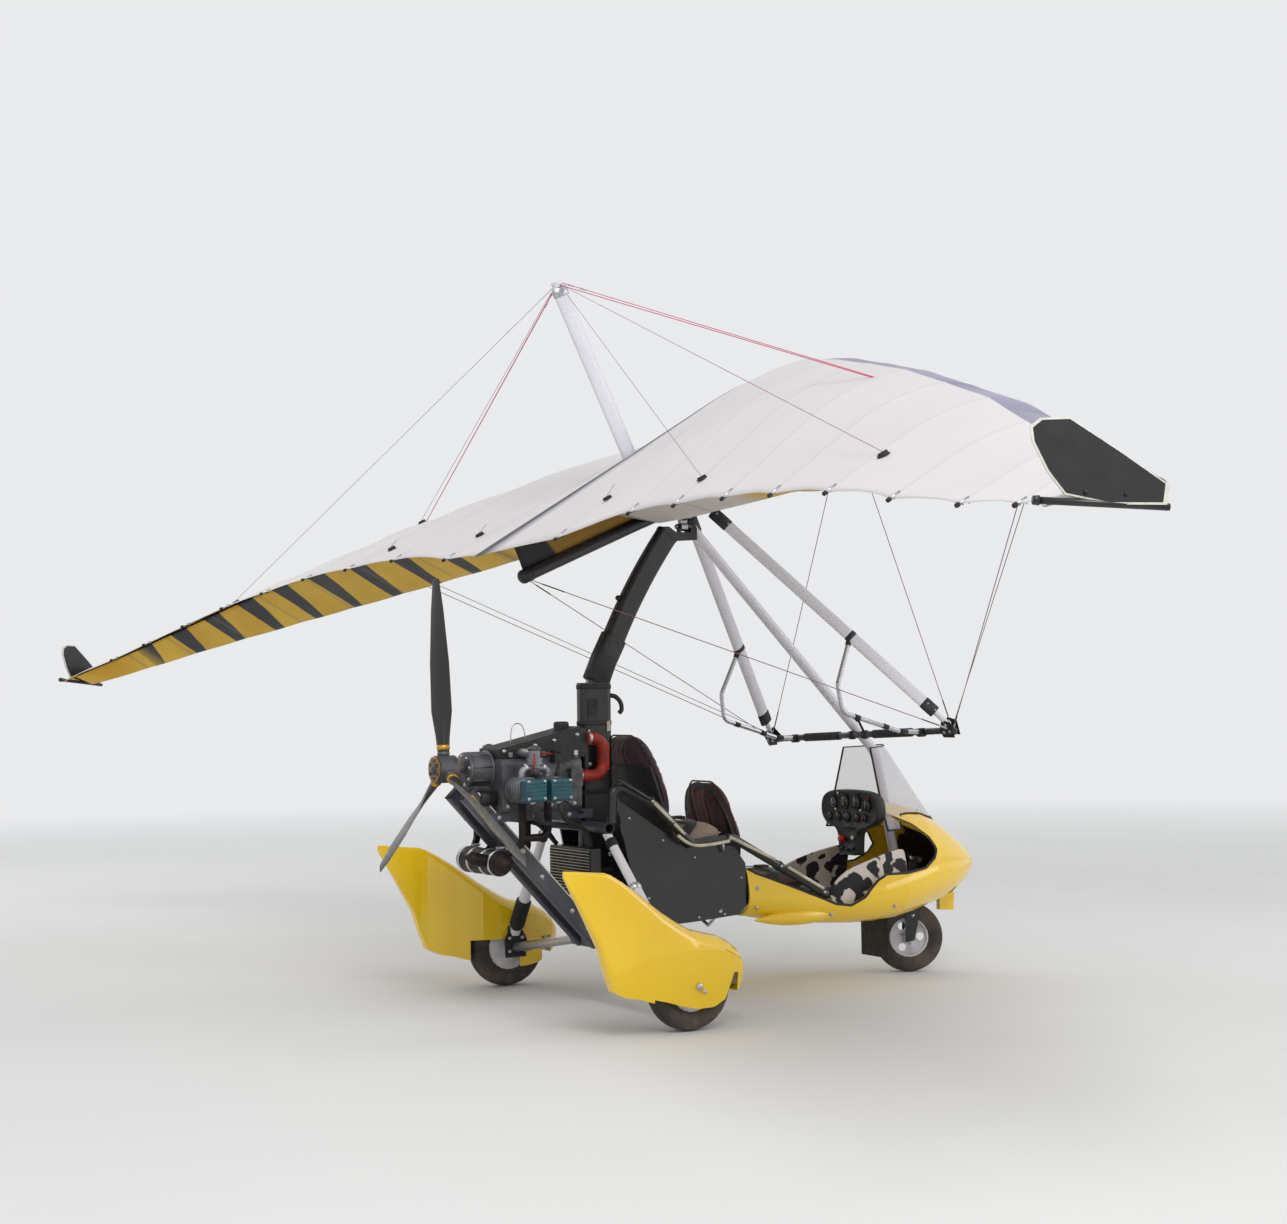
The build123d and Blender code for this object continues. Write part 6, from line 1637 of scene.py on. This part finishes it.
prop.lathe((PROP_X - 0.050, 0, PROP_Z), (-1, 0, 0),
    [(0, 0.024), (0.006, 0.024), (0.010, 0.018), (0.012, 0.006)], 1, 24)
prop.make("propeller_trim", "propeller", [gold, cast, bronze], "steel_bolt", TRIKE)


# ---------------------------------------------------------------- camera, light and floor
CAMERA = dict(place=(-4.814 + AXLE_X, -8.497, 1.481), yaw=58.543, pitch=3.401, roll=-0.869,
              focal_px=2079.32, centre_px=(649.6, 562.35), image=(1287, 1224))


def make_camera():
    yaw, pitch, roll = (math.radians(CAMERA[k]) for k in ("yaw", "pitch", "roll"))
    ahead = Vector((math.cos(yaw) * math.cos(pitch), math.sin(yaw) * math.cos(pitch), math.sin(pitch)))
    right = Vector((math.sin(yaw), -math.cos(yaw), 0))
    up = right.cross(ahead)
    right, up = right * math.cos(roll) + up * math.sin(roll), up * math.cos(roll) - right * math.sin(roll)
    data = bpy.data.cameras.new("camera")
    wide, high = CAMERA["image"]
    data.sensor_fit, data.sensor_width = "HORIZONTAL", 36.0
    data.lens = CAMERA["focal_px"] * 36.0 / wide
    data.shift_x = (wide / 2 - CAMERA["centre_px"][0]) / wide
    data.shift_y = (CAMERA["centre_px"][1] - high / 2) / wide
    data.clip_end = 200
    camera = bpy.data.objects.new("camera", data)
    bpy.context.scene.collection.objects.link(camera)
    turn = Matrix((right, up, -ahead)).transposed().to_4x4()
    camera.matrix_world = Matrix.Translation(CAMERA["place"]) @ turn
    bpy.context.scene.camera = camera


make_camera()


def light(name, place, target, size, power):
    data = bpy.data.lights.new(name, "AREA")
    data.shape, data.size, data.energy = "SQUARE", size, power
    lamp = bpy.data.objects.new(name, data)
    lamp.location = place
    lamp.rotation_euler = (Vector(target) - Vector(place)).to_track_quat("-Z", "Y").to_euler()
    bpy.context.scene.collection.objects.link(lamp)


light("key", (-3.5, -9.0, 9.0), (0, 0, 1.2), 5.0, 620)
light("fill", (8.0, -5.0, 4.0), (0, 0, 1.0), 5.0, 150)
light("back", (-3.0, 9.0, 6.0), (0, 0, 1.5), 5.0, 160)

BACKDROP = (0.95, 0.96, 0.975, 1.0)
ROOM_LEVEL, BACKDROP_LEVEL = 0.62, 0.86
world = bpy.data.worlds.new("studio")
bpy.context.scene.world = world
world.use_nodes = True
tree = world.node_tree
background = tree.nodes["Background"]
path = tree.nodes.new("ShaderNodeLightPath")
seen = tree.nodes.new("ShaderNodeMath")
seen.operation = "MAXIMUM"
seen_2 = tree.nodes.new("ShaderNodeMath")
seen_2.operation = "MAXIMUM"
strength = tree.nodes.new("ShaderNodeMapRange")
strength.inputs["To Min"].default_value, strength.inputs["To Max"].default_value = ROOM_LEVEL, BACKDROP_LEVEL
tree.links.new(path.outputs["Is Camera Ray"], seen.inputs[0])
tree.links.new(path.outputs["Is Glossy Ray"], seen.inputs[1])
tree.links.new(seen.outputs[0], seen_2.inputs[0])
tree.links.new(path.outputs["Is Transmission Ray"], seen_2.inputs[1])
tree.links.new(seen_2.outputs[0], strength.inputs["Value"])
tree.links.new(strength.outputs[0], background.inputs["Strength"])
background.inputs["Color"].default_value = BACKDROP

floor_mesh = bpy.data.meshes.new("floor")
reach = 60.0
floor_mesh.from_pydata([(-reach, -reach, 0), (reach, -reach, 0), (reach, reach, 0), (-reach, reach, 0)], [],
                       [(0, 1, 2, 3)])
floor = bpy.data.objects.new("floor", floor_mesh)
bpy.context.scene.collection.objects.link(floor)
floor_look = Shader("floor_pale")
grain = floor_look.span(floor_look.noise(0.6), 0.3, 0.7)
floor_look.link(floor_look.mix(grain, srgb(0.90, 0.90, 0.895), srgb(0.885, 0.885, 0.88)),
    floor_look.bsdf.inputs["Base Color"])
floor_look.constant(rough=0.9)
far = floor_look.add("ShaderNodeVectorMath", operation="LENGTH")
floor_look.link(floor_look.place.outputs["Object"], far.inputs[0])
ray = floor_look.add("ShaderNodeLightPath")
fade = floor_look.maths("MULTIPLY", floor_look.span(far.outputs["Value"], 6.0, 17.0),
    ray.outputs["Is Camera Ray"])
haze = floor_look.add("ShaderNodeEmission", {"Color": BACKDROP, "Strength": BACKDROP_LEVEL})
both = floor_look.add("ShaderNodeMixShader")
floor_look.link(fade, both.inputs[0])
floor_look.link(floor_look.bsdf.outputs[0], both.inputs[1])
floor_look.link(haze.outputs[0], both.inputs[2])
floor_look.link(both.outputs[0], floor_look.tree.nodes["Material Output"].inputs["Surface"])
floor_mesh.materials.append(floor_look.material)
bpy.context.scene.view_settings.view_transform = "Standard"
